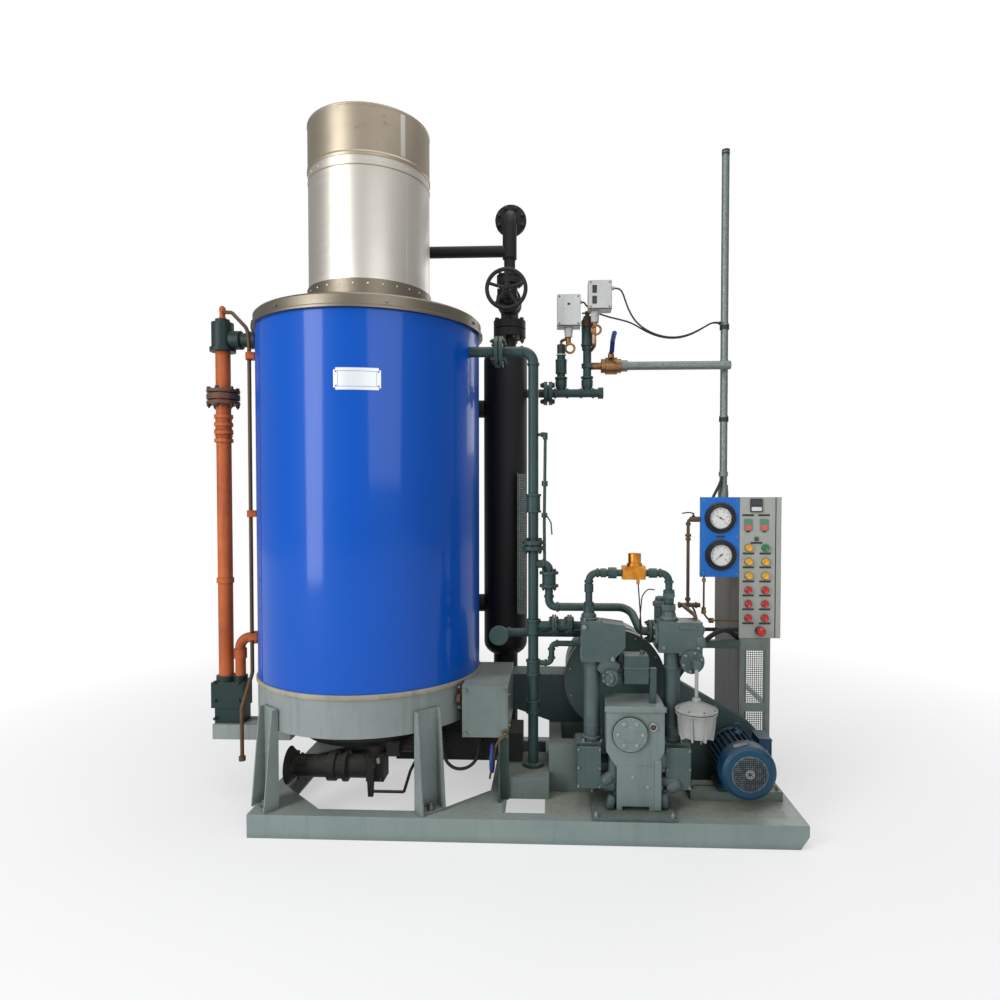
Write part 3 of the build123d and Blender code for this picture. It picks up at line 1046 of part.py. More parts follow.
gauge_plate = block((GAUGE_LEFT, PANEL_FRONT, GAUGE_BOTTOM), (PANEL_LEFT, PANEL_FRONT + 3, PANEL_TOP))
gauge_plate = gauge_plate + block((PANEL_LEFT - 3, PANEL_FRONT, GAUGE_BOTTOM),
                                  (PANEL_LEFT, PANEL_FRONT + 24, PANEL_TOP))
gauge_plate = gauge_plate + block((GAUGE_LEFT, PANEL_FRONT, GAUGE_BOTTOM),
                                  (GAUGE_LEFT + 3, PANEL_FRONT + 20, PANEL_TOP))
gauges = []
for gauge_x, gauge_z in GAUGES:
    gauge_plate = gauge_plate - rod((gauge_x, PANEL_FRONT - 5, gauge_z), (gauge_x, PANEL_FRONT + 5, gauge_z),
                                    50)
    gauges.append(fuse([
        rod((gauge_x, PANEL_FRONT - 6, gauge_z), (gauge_x, PANEL_FRONT, gauge_z), 66),
        rod((gauge_x, PANEL_FRONT, gauge_z), (gauge_x, PANEL_FRONT + 44, gauge_z), 49.5),
        rod((gauge_x, PANEL_FRONT + 44, gauge_z), (gauge_x, PANEL_FRONT + 74, gauge_z), 8),
    ]))
save("gauge_plate", gauge_plate)
save("pressure_gauges", Compound(gauges))

buttons = []
for lamp_x in LAMP_COLUMNS:
    for lamp_z in LAMP_ROWS:
        buttons.append(rod((lamp_x, PANEL_FRONT - 18, lamp_z), (lamp_x, PANEL_FRONT, lamp_z), 14))
buttons.append(rod((1006, PANEL_FRONT - 42, 728), (1006, PANEL_FRONT, 728), 20))
buttons.append(rod((990, PANEL_FRONT - 10, 1126), (990, PANEL_FRONT, 1126), 8))
buttons.append(block((964, PANEL_FRONT - 6, 1242), (1012, PANEL_FRONT, 1298)))
for switch_x in (954.0, 1022.0):
    buttons.append(block((switch_x - 17, PANEL_FRONT - 9, 1160), (switch_x + 17, PANEL_FRONT, 1212)))
save("panel_buttons", Compound(buttons))


# Perforated guard strip beside the separator
strip_y = SEPARATOR_Y - SEPARATOR_RADIUS - 30
strip = fuse([
    block((STRIP_LEFT, strip_y, 760), (STRIP_RIGHT, strip_y + 3, 1420)),
    block((STRIP_LEFT, strip_y, 760), (STRIP_LEFT + 3, strip_y + 60, 1420)),
]) - vessel
save("separator_guard", strip)

# Gauge line: a small tube with a cock, from the gauge plate down to a manifold
manifold = rod((658, LINE_Y, MANIFOLD_Z), (753, LINE_Y, MANIFOLD_Z), 10)
manifold_arm = pipe([(676, LINE_Y, MANIFOLD_Z), (676, PUMP_Y + 20, MANIFOLD_Z), (676, PUMP_Y + 20, 820)], 8,
                    12)
gauge_tube = pipe([(GAUGE_LEFT, LINE_Y, LINE_TOP), (700, LINE_Y, LINE_TOP), (700, LINE_Y, MANIFOLD_Z)], 7,
                  14)
gauge_cock = rod((716, LINE_Y, LINE_TOP), (742, LINE_Y, LINE_TOP), 12)
save("gauge_line", fuse([manifold, manifold_arm, gauge_tube, gauge_cock]))


# Cables and hoses that hang between two ends
def cord_radii(points):
    """One bend radius for each corner of a hanging cord."""
    radii = []
    for before, corner, after in zip(points, points[1:], points[2:]):
        first = Vector(*corner) - Vector(*before)
        second = Vector(*after) - Vector(*corner)
        half_turn = radians(first.get_angle(second)) / 2
        radii.append(0.45 * min(first.length, second.length) / tan(half_turn))
    return radii


def cord(points, radius):
    """A round cord along straight runs joined by tangent arcs."""
    radii = cord_radii(points)
    print("cord diameter", 2 * radius, "radii", [round(r) for r in radii])
    path = FilletPolyline(*points, radius=radii)
    start = Vector(*points[0])
    tube = sweep(Plane(origin=start, z_dir=Vector(*points[1]) - start) * Circle(radius), path=path)
    print("length", round(path.length), "volume against section",
          tube.volume / (pi * radius**2 * path.length))
    return tube


half_pair = gland_side * CABLE_PAIR / 2
upper_end = gland_mouth - half_pair
lower_end = gland_mouth + half_pair
upper_lead = upper_end - gland_way * 51
lower_lead = lower_end - gland_way * 51
right_cable = [
    (right_side + GLAND_LENGTH, switch_y, RIGHT_GLAND_Z), (424, switch_y, RIGHT_GLAND_Z), (441, 260, 2262),
    (454, 262, 2222), (472, 265, 2178), (503, 271, 2130), (556, 280, 2092), (622, 291, 2068),
    (692, 303, 2063),
    (762, 316, 2080), (826, 327, 2113), (upper_lead.X, upper_lead.Y, upper_lead.Z),
    (upper_end.X, upper_end.Y, upper_end.Z),
]
left_cable = [
    (left_side + LEFT_GLAND_LENGTH, LEFT_GLAND_Y, LEFT_GLAND_Z), (261, LEFT_GLAND_Y, LEFT_GLAND_Z),
    (269, 300, 2220),
    (290, 313, 2207), (330, 318, 2185), (380, 312, 2166), (432, 298, 2150), (486, 284, 2130),
    (556, 289, 2088),
    (622, 300, 2066), (692, 312, 2061), (762, 325, 2078), (826, 336, 2113),
    (lower_lead.X, lower_lead.Y, lower_lead.Z),
    (lower_end.X, lower_end.Y, lower_end.Z),
]
save("switch_cables", Compound([cord(right_cable, CABLE_RADIUS), cord(left_cable, CABLE_RADIUS)]))
burner_hose = [
    (HOSE_LEFT_X, HOSE_Y, HOSE_TOP), (HOSE_LEFT_X, HOSE_Y, 200), (-311, -127, 150), (-246, -129, 154),
    (HOSE_RIGHT_X, HOSE_Y, 202), (HOSE_RIGHT_X, HOSE_Y, HOSE_TOP),
]
save("burner_hose", cord(burner_hose, HOSE_RADIUS))
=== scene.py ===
import bpy
import bmesh
import random
from math import cos, pi, radians, sin, sqrt
from mathutils import Matrix, Vector


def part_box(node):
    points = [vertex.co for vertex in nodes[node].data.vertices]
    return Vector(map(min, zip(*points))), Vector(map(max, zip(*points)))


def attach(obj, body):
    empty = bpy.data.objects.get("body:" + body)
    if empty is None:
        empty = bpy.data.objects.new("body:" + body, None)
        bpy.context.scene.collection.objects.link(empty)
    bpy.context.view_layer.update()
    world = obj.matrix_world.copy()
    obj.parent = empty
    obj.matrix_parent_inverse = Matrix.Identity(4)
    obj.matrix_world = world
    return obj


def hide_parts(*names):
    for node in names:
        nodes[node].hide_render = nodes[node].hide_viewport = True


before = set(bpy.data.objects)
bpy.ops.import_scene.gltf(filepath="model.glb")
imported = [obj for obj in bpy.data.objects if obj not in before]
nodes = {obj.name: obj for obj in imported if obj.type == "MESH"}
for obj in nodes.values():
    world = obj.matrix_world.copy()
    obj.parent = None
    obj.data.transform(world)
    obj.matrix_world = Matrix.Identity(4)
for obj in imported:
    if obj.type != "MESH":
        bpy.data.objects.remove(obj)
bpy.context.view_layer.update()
random.seed(7)


# Skid. A frame of welded steel channels with a deck plate under the pump and
# motor, sprayed with grey machine enamel. Four legs are bolted to it and carry
# the boiler. Dust lies on the flats and the paint is chipped along the edges.
def linear(hex_colour):
    """An sRGB hex colour as linear red, green, blue and alpha."""
    channels = [int(hex_colour[i:i + 2], 16) / 255 for i in (1, 3, 5)]
    return [c / 12.92 if c <= 0.04045 else ((c + 0.055) / 1.055) ** 2.4 for c in channels] + [1.0]


def add(tree, kind, values=None, links=None, **options):
    """One shader node with its options, its socket values and the outputs linked into it."""
    made = tree.nodes.new("ShaderNode" + kind)
    for option, value in options.items():
        setattr(made, option, value)
    for socket, value in (values or {}).items():
        made.inputs[socket].default_value = value
    for socket, source in (links or {}).items():
        output = source if isinstance(source, bpy.types.NodeSocket) else source.outputs[0]
        tree.links.new(output, made.inputs[socket])
    return made


def mix(tree, factor, low, high):
    """Blends two colours by a factor: each is a hex value, a list of channels or an output."""
    values, links = {}, {0: factor}
    for socket, colour in ((6, low), (7, high)):
        if isinstance(colour, bpy.types.NodeSocket):
            links[socket] = colour
        else:
            values[socket] = linear(colour) if isinstance(colour, str) else colour
    return add(tree, "Mix", values, links, data_type="RGBA").outputs[2]


def new_material(name, **values):
    """A material with one Principled shader whose named sockets hold these constants."""
    material = bpy.data.materials.new(name)
    material.use_nodes = True
    shader = material.node_tree.nodes["Principled BSDF"]
    for socket, value in values.items():
        shader.inputs[socket.replace("_", " ")].default_value = value
    return material, material.node_tree, shader


def two_tone(name, low, high, scale, detail=2.0, **values):
    """A material whose colour drifts between two tones, with the noise that moves it."""
    material, tree, shader = new_material(name, **values)
    place = add(tree, "TexCoord").outputs["Object"]
    cloud = add(tree, "TexNoise", {"Scale": scale, "Detail": detail}, {"Vector": place})
    tree.links.new(mix(tree, cloud, low, high), shader.inputs["Base Color"])
    return material, tree, shader, cloud


def enamel(name, colour, shade, worn="#9AA19E", grime_and_shade="#3B3A33", roughness=0.4, wear=0.5, dust=0.3,
           grain_mm=3.0, grain_depth=0.00012, coat=0.0, grime_amount=0.45, crevice_shade_amount=0.6):
    """Machine enamel sprayed on steel or castings: cloudy colour, dirt streaks, dust on top
    faces, painted shade darkening the crevices, paint worn pale along the edges, and a pebbled surface."""
    material, tree, shader = new_material(name, Coat_Weight=coat, Coat_Roughness=0.12,
                                          Specular_IOR_Level=0.35)
    place = add(tree, "TexCoord").outputs["Object"]
    cloud = add(tree, "TexNoise", {"Scale": 3.0, "Detail": 5.0, "Roughness": 0.65}, {"Vector": place})
    cloud_range = add(tree, "MapRange", {1: 0.35, 2: 0.68}, {0: cloud})
    paint = mix(tree, cloud_range, colour, shade)
    tall = add(tree, "Mapping", {"Scale": (22.0, 22.0, 1.6)}, {"Vector": place})
    streak = add(tree, "TexNoise", {"Scale": 1.0, "Detail": 6.0, "Roughness": 0.7}, {"Vector": tall})
    streak_range = add(tree, "MapRange", {1: 0.52, 2: 0.80, 4: grime_amount}, {0: streak})
    grimy = mix(tree, streak_range, paint, grime_and_shade)
    surface = add(tree, "NewGeometry")
    upward = add(tree, "SeparateXYZ", None, {0: surface.outputs["Normal"]})
    up_range = add(tree, "MapRange", {1: 0.45, 2: 1.0, 4: dust}, {0: upward.outputs["Z"]})
    speck = add(tree, "TexNoise", {"Scale": 60.0, "Detail": 4.0}, {"Vector": place})
    dusty = add(tree, "Math", None, {0: up_range, 1: speck}, operation="MULTIPLY")
    dusted = mix(tree, dusty, grimy, "#B4AE9E")
    # Painted shade: ambient occlusion darkens crevices, gaps between parts and edges near the floor.
    occlusion = add(tree, "AmbientOcclusion", {"Distance": 0.05}, samples=6)
    painted_crevice_shade = add(tree, "MapRange", {1: 0.78, 2: 0.22, 4: crevice_shade_amount}, {0: occlusion.outputs["AO"]})
    crevice_shaded = mix(tree, painted_crevice_shade, dusted, grime_and_shade)
    round_edge = add(tree, "Bevel", {"Radius": 0.0028}, samples=4)
    agree = add(tree, "VectorMath", None, {0: round_edge, 1: surface.outputs["Normal"]},
                operation="DOT_PRODUCT")
    edge = add(tree, "MapRange", {1: 0.992, 2: 0.86, 4: wear}, {0: agree.outputs["Value"]})
    chips = add(tree, "MapRange", {1: 0.47, 2: 0.6}, {0: speck})
    worn_edge = add(tree, "Math", None, {0: edge, 1: chips}, operation="MULTIPLY")
    final = mix(tree, worn_edge, crevice_shaded, worn)
    tree.links.new(final, shader.inputs["Base Color"])
    rough = add(tree, "MapRange", {3: roughness - 0.07, 4: roughness + 0.2}, {0: streak})
    tree.links.new(rough.outputs[0], shader.inputs["Roughness"])
    grain = add(tree, "TexNoise", {"Scale": 1000.0 / grain_mm, "Detail": 2.0}, {"Vector": place})
    bump = add(tree, "Bump", {"Strength": 1.0, "Distance": grain_depth},
               {"Height": grain, "Normal": round_edge})
    tree.links.new(bump.outputs[0], shader.inputs["Normal"])
    return material


def paint_node(name, material):
    """Gives a carried-over node its finish."""
    data = nodes[name].data
    data.materials.clear()
    data.materials.append(material)


UP, RIGHT, LEFT, TO_OPERATOR = (0, 0, 1), (1, 0, 0), (-1, 0, 0), (0, -1, 0)


def facing(centre, axis):
    """The matrix that lays local Z along an axis through a centre."""
    turn = Vector(UP).rotation_difference(Vector(axis).normalized()).to_matrix().to_4x4()
    return Matrix.Translation(Vector(centre)) @ turn


def standing(x, y, z=0.0):
    """A place whose axis points straight up."""
    return Matrix.Translation((x, y, z))


def fronting(x, y, z):
    """A place for flat outlines that stand up and face the operator."""
    return Matrix(((1, 0, 0, x), (0, 0, -1, y), (0, 1, 0, z), (0, 0, 0, 1)))


def siding(x):
    """A place for flat outlines that stand up along a side of the part."""
    return Matrix(((0, 0, 1, x), (1, 0, 0, 0), (0, 1, 0, 0), (0, 0, 0, 1)))


def turns(count, start=0.0):
    """Equal angles round a full turn, for rings of bolts and the like."""
    return [start + 2 * pi * index / count for index in range(count)]


def lathe(shape, profile, place, segments=32):
    """Adds a turned form to a mesh, from pairs of radius and height along local Z."""
    rings = []
    for radius, height in profile:
        if radius < 1e-7:
            rings.append([shape.verts.new(place @ Vector((0, 0, height)))])
            continue
        rings.append([shape.verts.new(place @ Vector((radius * cos(a), radius * sin(a),
                                                      height))) for a in turns(segments)])
    for low, high in zip(rings, rings[1:]):
        for i in range(segments):
            j = (i + 1) % segments
            corners = [low[i % len(low)], low[j % len(low)], high[j % len(high)], high[i % len(high)]]
            corners = list(dict.fromkeys(corners))
            if len(corners) > 2:
                shape.faces.new(corners)


def prism(shape, outline, depth, place):
    """Adds a plate to a mesh: an outline in local X and Y, with a thickness along local Z."""
    low = [shape.verts.new(place @ Vector((x, y, 0))) for x, y in outline]
    high = [shape.verts.new(place @ Vector((x, y, depth))) for x, y in outline]
    shape.faces.new(list(reversed(low)))
    shape.faces.new(high)
    count = len(outline)
    for i in range(count):
        j = (i + 1) % count
        shape.faces.new((low[i], low[j], high[j], high[i]))


def ring_outline(radius, count, start=0.0, cx=0.0, cy=0.0):
    """Points of a regular polygon or circle."""
    return [(cx + radius * cos(a), cy + radius * sin(a)) for a in turns(count, start)]


def rounded(width, height, radius, steps=4):
    """The outline of a rectangle with round corners, about its middle."""
    points = []
    for quarter, (sx, sy) in enumerate(((1, 1), (-1, 1), (-1, -1), (1, -1))):
        cx, cy = sx * (width / 2 - radius), sy * (height / 2 - radius)
        for step in range(steps + 1):
            a = radians(90 * quarter + 90 * step / steps)
            points.append((cx + radius * cos(a), cy + radius * sin(a)))
    return points


def piece(name, shape, material, sharp=35.0, body="generator"):
    """Makes an object of a finished mesh and lets it ride on a body."""
    bmesh.ops.recalc_face_normals(shape, faces=shape.faces)
    data = bpy.data.meshes.new(name)
    shape.to_mesh(data)
    shape.free()
    data.polygons.foreach_set("use_smooth", [True] * len(data.polygons))
    data.set_sharp_from_angle(angle=radians(sharp))
    made = bpy.data.objects.new(name, data)
    bpy.context.scene.collection.objects.link(made)
    data.materials.append(material)
    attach(made, body)
    return made


def hex_bolt(shape, centre, axis, across, head=0.65, washer=True, stud=0.0):
    """Adds a hexagon head or nut with its washer, seated at centre and standing along axis."""
    place = facing(centre, axis)
    radius = across / sqrt(3)
    rise = across * 0.12 if washer else 0.0
    if washer:
        lathe(shape, [(0, 0), (across * 0.62, 0), (across * 0.62, rise), (0, rise)], place, 20)
    top = rise + across * head
    turn = random.uniform(0, pi / 3)
    prism(shape, ring_outline(radius, 6, turn), top - rise - across * 0.06,
          place @ Matrix.Translation((0, 0, rise)))
    lathe(shape, [(0, top - across * 0.07), (across * 0.49, top - across * 0.07), (across * 0.42, top),
                  (0, top)], place, 18)
    if stud:
        lathe(shape, [(across * 0.29, top), (across * 0.29, top + stud * 0.8), (across * 0.22, top + stud),
                      (0, top + stud)], place, 12)


skid_grey = enamel("grey_machine_enamel_on_skid", "#84928F", "#788886", worn="#A9AEA8", dust=0.45, wear=0.7,
                   grime_amount=0.22)
leg_grey = enamel("grey_enamel_on_legs", "#879390", "#778582", worn="#B2B7B1", dust=0.4, wear=0.8,
                  grime_amount=0.3)
deck_grey = enamel("grey_enamel_on_deck", "#76837F", "#68766F", worn="#9FA5A0", dust=0.7, wear=0.4,
                   roughness=0.5)
paint_node("skid_frame", skid_grey)
paint_node("deck_plate", deck_grey)
paint_node("boiler_legs", leg_grey)

boiler_x = sum(corner[0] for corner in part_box("boiler_jacket")) / 2
shell_radius = (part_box("boiler_jacket")[1][0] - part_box("boiler_jacket")[0][0]) / 2
deck_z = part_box("skid_frame")[1][2]
zinc_plate = two_tone("zinc_plated_bolts", "#8F918D", "#6A6459", 90.0, 3.0, Metallic=0.85, Roughness=0.42)[0]

LEG_TURNS = (-50, 50, 130, 230)
LEG_FOOT_REACH = 0.512
leg_bolts = bmesh.new()
for turn in LEG_TURNS:
    a = radians(turn)
    foot = (boiler_x + LEG_FOOT_REACH * cos(a), LEG_FOOT_REACH * sin(a), deck_z + 0.007)
    hex_bolt(leg_bolts, foot, UP, 0.024, stud=0.008)
piece("leg_foot_bolts", leg_bolts, zinc_plate)

skid_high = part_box("skid_frame")[1]
weld = bmesh.new()
for cross_x in (-1.0, -0.144, -0.084, 0.081, 0.141, 1.0):
    for side in (-1, 1):
        bead_y = side * (skid_high[1] - 0.060)
        for step in range(9):
            z = 0.012 + 0.0085 * step
            lathe(weld, [(0, -0.003), (0.0035, -0.001), (0.0035, 0.001), (0, 0.003)],
                  facing((cross_x, bead_y, z), UP), 8)
piece("skid_weld_beads", weld, skid_grey)

# Boiler. The skirt is grey enamelled plate, a beige rope bead seals the joint
# above it, and the jacket is one sheet of glossy blue painted steel, lapped and
# riveted near its left edge. The lid is a satin stainless pan with a clamp ring.
skirt_grey = enamel("pale_grey_enamel_on_skirt", "#8B9492", "#7F8886", worn="#B9BAB3", dust=0.35, wear=0.4)
bead_white = enamel("off_white_glass_fibre_rope", "#A9A596", "#8C8777", worn="#E2DFD6", dust=0.1, wear=0.1,
                    roughness=0.8,
                    grain_mm=6.0, grain_depth=0.0009, grime_amount=0.5)
paint_node("boiler_skirt", skirt_grey)
paint_node("skirt_band", bead_white)


def gloss_sheet(name, colour, deep):
    """Glossy stoved paint on rolled sheet: a deep colour under a clear coat, with slight dents."""
    material, tree, shader = new_material(name, Roughness=0.40, Coat_Weight=0.35, Coat_Roughness=0.10,
                                          Specular_IOR_Level=0.12)
    place = add(tree, "TexCoord").outputs["Object"]
    cloud = add(tree, "TexNoise", {"Scale": 1.6, "Detail": 3.0}, {"Vector": place})
    paint = mix(tree, cloud, colour, deep)
    tree.links.new(paint, shader.inputs["Base Color"])
    dents = add(tree, "TexNoise", {"Scale": 2.4, "Detail": 1.0}, {"Vector": place})
    peel = add(tree, "TexNoise", {"Scale": 380.0, "Detail": 1.0}, {"Vector": place})
    round_edge = add(tree, "Bevel", {"Radius": 0.002}, samples=4)
    wave = add(tree, "Bump", {"Strength": 0.8, "Distance": 0.004}, {"Height": dents, "Normal": round_edge})
    fine = add(tree, "Bump", {"Strength": 0.5, "Distance": 0.00003}, {"Height": peel, "Normal": wave})
    tree.links.new(fine.outputs[0], shader.inputs["Normal"])
    return material


jacket_blue = gloss_sheet("glossy_blue_stoved_paint", "#0054BE", "#004CAE")
paint_node("boiler_jacket", jacket_blue)
jacket_low, jacket_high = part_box("boiler_jacket")


def wrapped_strip(shape, turn, width, z_low, z_high, thick, radius, steps=6):
    """Adds a thin strip that lies round an upright cylinder about the boiler's axis."""
    half = width / radius / 2
    columns = []
    for step in range(steps + 1):
        a = radians(turn) - half + 2 * half * step / steps
        for reach in (radius, radius + thick):
            x, y = boiler_x + reach * cos(a), reach * sin(a)
            columns.append((shape.verts.new((x, y, z_low)), shape.verts.new((x, y, z_high))))
    for step in range(steps):
        in_a, out_a, in_b, out_b = columns[2 * step:2 * step + 4]
        shape.faces.new((out_a[0], out_b[0], out_b[1], out_a[1]))
        shape.faces.new((in_b[0], in_a[0], in_a[1], in_b[1]))
        shape.faces.new((in_a[1], out_a[1], out_b[1], in_b[1]))
        shape.faces.new((in_b[0], out_b[0], out_a[0], in_a[0]))
    for low_in, low_out in ((columns[0], columns[1]), (columns[-1], columns[-2])):
        shape.faces.new((low_in[0], low_out[0], low_out[1], low_in[1]))


def shell_rivet(shape, a, reach, z, profile, segments):
    """Adds a turned rivet head that looks away from the boiler's axis."""
    seat = facing((boiler_x + reach * cos(a), reach * sin(a), z), (cos(a), sin(a), 0))
    lathe(shape, profile, seat, segments)


SEAM_TURN = 217.0
SEAM_WIDTH, SEAM_THICK = 0.034, 0.0016
seam = bmesh.new()
wrapped_strip(seam, SEAM_TURN, SEAM_WIDTH, jacket_low[2] + 0.002, jacket_high[2] - 0.002, SEAM_THICK,
              shell_radius)
piece("jacket_lap_seam", seam, jacket_blue)
seam_rivets = bmesh.new()
rivet_gap = 0.12
rivet_count = int((jacket_high[2] - jacket_low[2]) / rivet_gap)
for index in range(rivet_count):
    z = jacket_low[2] + 0.05 + index * rivet_gap
    rivet_head = [(0.0045, 0), (0.0042, 0.0012), (0.0025, 0.0022), (0, 0.0026)]
    shell_rivet(seam_rivets, radians(SEAM_TURN), shell_radius + SEAM_THICK, z, rivet_head, 12)
piece("jacket_rivets", seam_rivets, jacket_blue)


def rolled_stainless(name, colour, tint, rust, rust_level, roughness=0.33):
    """Cold-rolled stainless sheet, finely grained along the roll, with brown rust bloom in places."""
    material, tree, shader = new_material(name, Metallic=1.0)
    place = add(tree, "TexCoord").outputs["Object"]
    cloud = add(tree, "TexNoise", {"Scale": 2.2, "Detail": 5.0, "Roughness": 0.6}, {"Vector": place})
    steel = mix(tree, cloud, colour, tint)
    spots = add(tree, "TexNoise", {"Scale": 17.0, "Detail": 7.0, "Roughness": 0.75}, {"Vector": place})
    spot_range = add(tree, "MapRange", {1: rust_level, 2: rust_level + 0.14, 4: 0.75}, {0: spots})
    rusted = mix(tree, spot_range, steel, rust)
    tree.links.new(rusted, shader.inputs["Base Color"])
    metal = add(tree, "MapRange", {2: 0.75, 3: 1.0, 4: 0.25}, {0: spot_range})
    tree.links.new(metal.outputs[0], shader.inputs["Metallic"])
    rolled = add(tree, "Mapping", {"Scale": (3.0, 3.0, 420.0)}, {"Vector": place})
    grain = add(tree, "TexNoise", {"Scale": 1.0, "Detail": 3.0}, {"Vector": rolled})
    rough = add(tree, "MapRange", {3: roughness - 0.06, 4: roughness + 0.12}, {0: grain})
    tree.links.new(rough.outputs[0], shader.inputs["Roughness"])
    dents = add(tree, "TexNoise", {"Scale": 3.4, "Detail": 2.0}, {"Vector": place})
    round_edge = add(tree, "Bevel", {"Radius": 0.002}, samples=4)
    wave = add(tree, "Bump", {"Strength": 0.7, "Distance": 0.006}, {"Height": dents, "Normal": round_edge})
    fine = add(tree, "Bump", {"Strength": 0.35, "Distance": 0.00005}, {"Height": grain, "Normal": wave})
    tree.links.new(fine.outputs[0], shader.inputs["Normal"])
    return material


lid_steel = rolled_stainless("satin_stainless_lid", "#857D6F", "#6E675B", "#6E4A2C", 0.62, 0.40)
stack_steel = rolled_stainless("rolled_stainless_stack", "#D5D1CA", "#C4BEB4", "#7A5536", 0.68, 0.40)
top_steel = rolled_stainless("heat_stained_stainless", "#B3A999", "#978B79", "#6B4527", 0.60, 0.42)
paint_node("boiler_lid", lid_steel)
paint_node("stack_lower", stack_steel)
paint_node("stack_upper", top_steel)

lid_low, lid_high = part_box("boiler_lid")
stack_radius = (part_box("stack_lower")[1][0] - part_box("stack_lower")[0][0]) / 2
stack_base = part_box("stack_lower")[0][2]
stack_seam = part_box("stack_upper")[0][2]
stack_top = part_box("stack_upper")[1][2]
lid_rim_z = jacket_high[2]


def hoop(shape, radius, z_low, z_high, thick, bulge, segments=128):
    """Adds a rolled hoop about the boiler's axis, rounded on its outer side."""
    middle = (z_low + z_high) / 2
    profile = [(radius, z_low), (radius + thick, z_low),
               (radius + thick + bulge, middle - (middle - z_low) * 0.5),
               (radius + thick + bulge, middle + (z_high - middle) * 0.5), (radius + thick, z_high),
               (radius, z_high),
               (radius, z_low)]
    lathe(shape, profile, standing(boiler_x, 0), segments)


rims = bmesh.new()
hoop(rims, stack_radius, stack_seam - 0.012, stack_seam + 0.006, 0.0015, 0.0025)
hoop(rims, stack_radius, stack_seam - 0.052, stack_seam - 0.046, 0.0002, 0.0016)
hoop(rims, stack_radius, stack_top - 0.012, stack_top, 0.0008, 0.0022)
piece("stack_joint_beads", rims, top_steel)
stack_rivets = bmesh.new()
for a in turns(28):
    for z, reach in ((stack_seam - 0.030, stack_radius), (stack_base + 0.100, stack_radius + 0.0063)):
        shell_rivet(stack_rivets, a, reach, z, [(0.004, 0), (0.0036, 0.0012), (0.002, 0.002), (0, 0.0023)],
                    10)
piece("stack_rivets", stack_rivets, stack_steel)
stack_lap = bmesh.new()
wrapped_strip(stack_lap, 322.0, 0.022, stack_base + 0.125, stack_seam - 0.055, 0.0012, stack_radius)
wrapped_strip(stack_lap, 316.0, 0.022, stack_seam + 0.010, stack_top - 0.014, 0.0012, stack_radius)
piece("stack_lap_seams", stack_lap, stack_steel)
lid_clamps = bmesh.new()
for turn in (238, 292, 346, 40, 94, 148, 202):
    a = radians(turn)
    reach = (lid_high[0] - lid_low[0]) / 2 - 0.0085
    seat = (boiler_x + reach * cos(a), reach * sin(a), lid_rim_z + 0.028)
    hex_bolt(lid_clamps, seat, (cos(a), sin(a), 0), 0.011, head=0.5)
piece("lid_screws", lid_clamps, zinc_plate)

# Nameplate. A bare satin aluminium plate with notched corners, held to the
# jacket by four rivets. It is bent to the jacket's curve and has a thin border.
brushed_plate = two_tone("satin_anodised_aluminium", "#E4E7EA", "#D5DADF", 700.0, Metallic=0.55,
                         Roughness=0.45)[0]
PLATE_LOW_X, PLATE_HIGH_X = -0.703, -0.528
PLATE_LOW_Z, PLATE_HIGH_Z = 1.703, 1.785
plate_middle_x = (PLATE_LOW_X + PLATE_HIGH_X) / 2
name_turn = -90 + (plate_middle_x - boiler_x) / shell_radius * 180 / pi
plate_width = PLATE_HIGH_X - PLATE_LOW_X
NOTCH, PLATE_THICK = 0.008, 0.0015
nameplate = bmesh.new()
for width, z_low, z_high in (
    (plate_width, PLATE_LOW_Z + NOTCH, PLATE_HIGH_Z - NOTCH),
    (plate_width - 2 * NOTCH, PLATE_HIGH_Z - NOTCH, PLATE_HIGH_Z),
    (plate_width - 2 * NOTCH, PLATE_LOW_Z, PLATE_LOW_Z + NOTCH),
):
    wrapped_strip(nameplate, name_turn, width, z_low, z_high, PLATE_THICK, shell_radius, 12)
piece("bare_nameplate", nameplate, brushed_plate)
border = bmesh.new()
for z in (PLATE_LOW_Z + 0.012, PLATE_HIGH_Z - 0.0132):
    wrapped_strip(border, name_turn, plate_width - 0.030, z, z + 0.0012, 0.0019, shell_radius, 12)
for side in (-1, 1):
    edge_turn = name_turn + side * (plate_width / 2 - 0.0156) / shell_radius * 180 / pi
    wrapped_strip(border, edge_turn, 0.0012, PLATE_LOW_Z + 0.012, PLATE_HIGH_Z - 0.012, 0.0019, shell_radius,
                  1)
piece("nameplate_border", border, jacket_blue)
plate_rivets = bmesh.new()
for side in (-1, 1):
    for z in (PLATE_LOW_Z + 0.014, PLATE_HIGH_Z - 0.014):
        a = radians(name_turn) + side * (plate_width / 2 - 0.009) / shell_radius
        shell_rivet(plate_rivets, a, shell_radius + PLATE_THICK, z,
                    [(0.004, 0), (0.0035, 0.0016), (0, 0.0024)], 14)
piece("nameplate_rivets", plate_rivets, zinc_plate)

# Burner and gas train. A black heat-resistant drum and air box hang below the
# boiler. The gas pipe comes in from the left with a flange pair, a valve block
# and a bent lever rod, and a rubber hose loops below the air box.
heat_black = enamel("black_heat_resistant_paint", "#0C0C0D", "#131415", worn="#3A3835", grime_and_shade="#3D342B",
                    roughness=0.55,
                    wear=0.35, dust=0.35, grime_amount=0.3)
paint_node("burner_housing", heat_black)
paint_node("gas_train", heat_black)


def flange_bolts(shape, centre, axis, circle, count, grip, across, turn=0.0):
    """Adds the bolts of a flange pair: a head on one side and a nut with its stud end on the other."""
    place = facing(centre, axis)
    along = Vector(axis).normalized()
    for a in turns(count, turn):
        middle = place @ Vector((circle * cos(a), circle * sin(a), 0))
        hex_bolt(shape, middle + along * grip, along, across)
        hex_bolt(shape, middle - along * grip, -along, across, stud=across * 0.35)


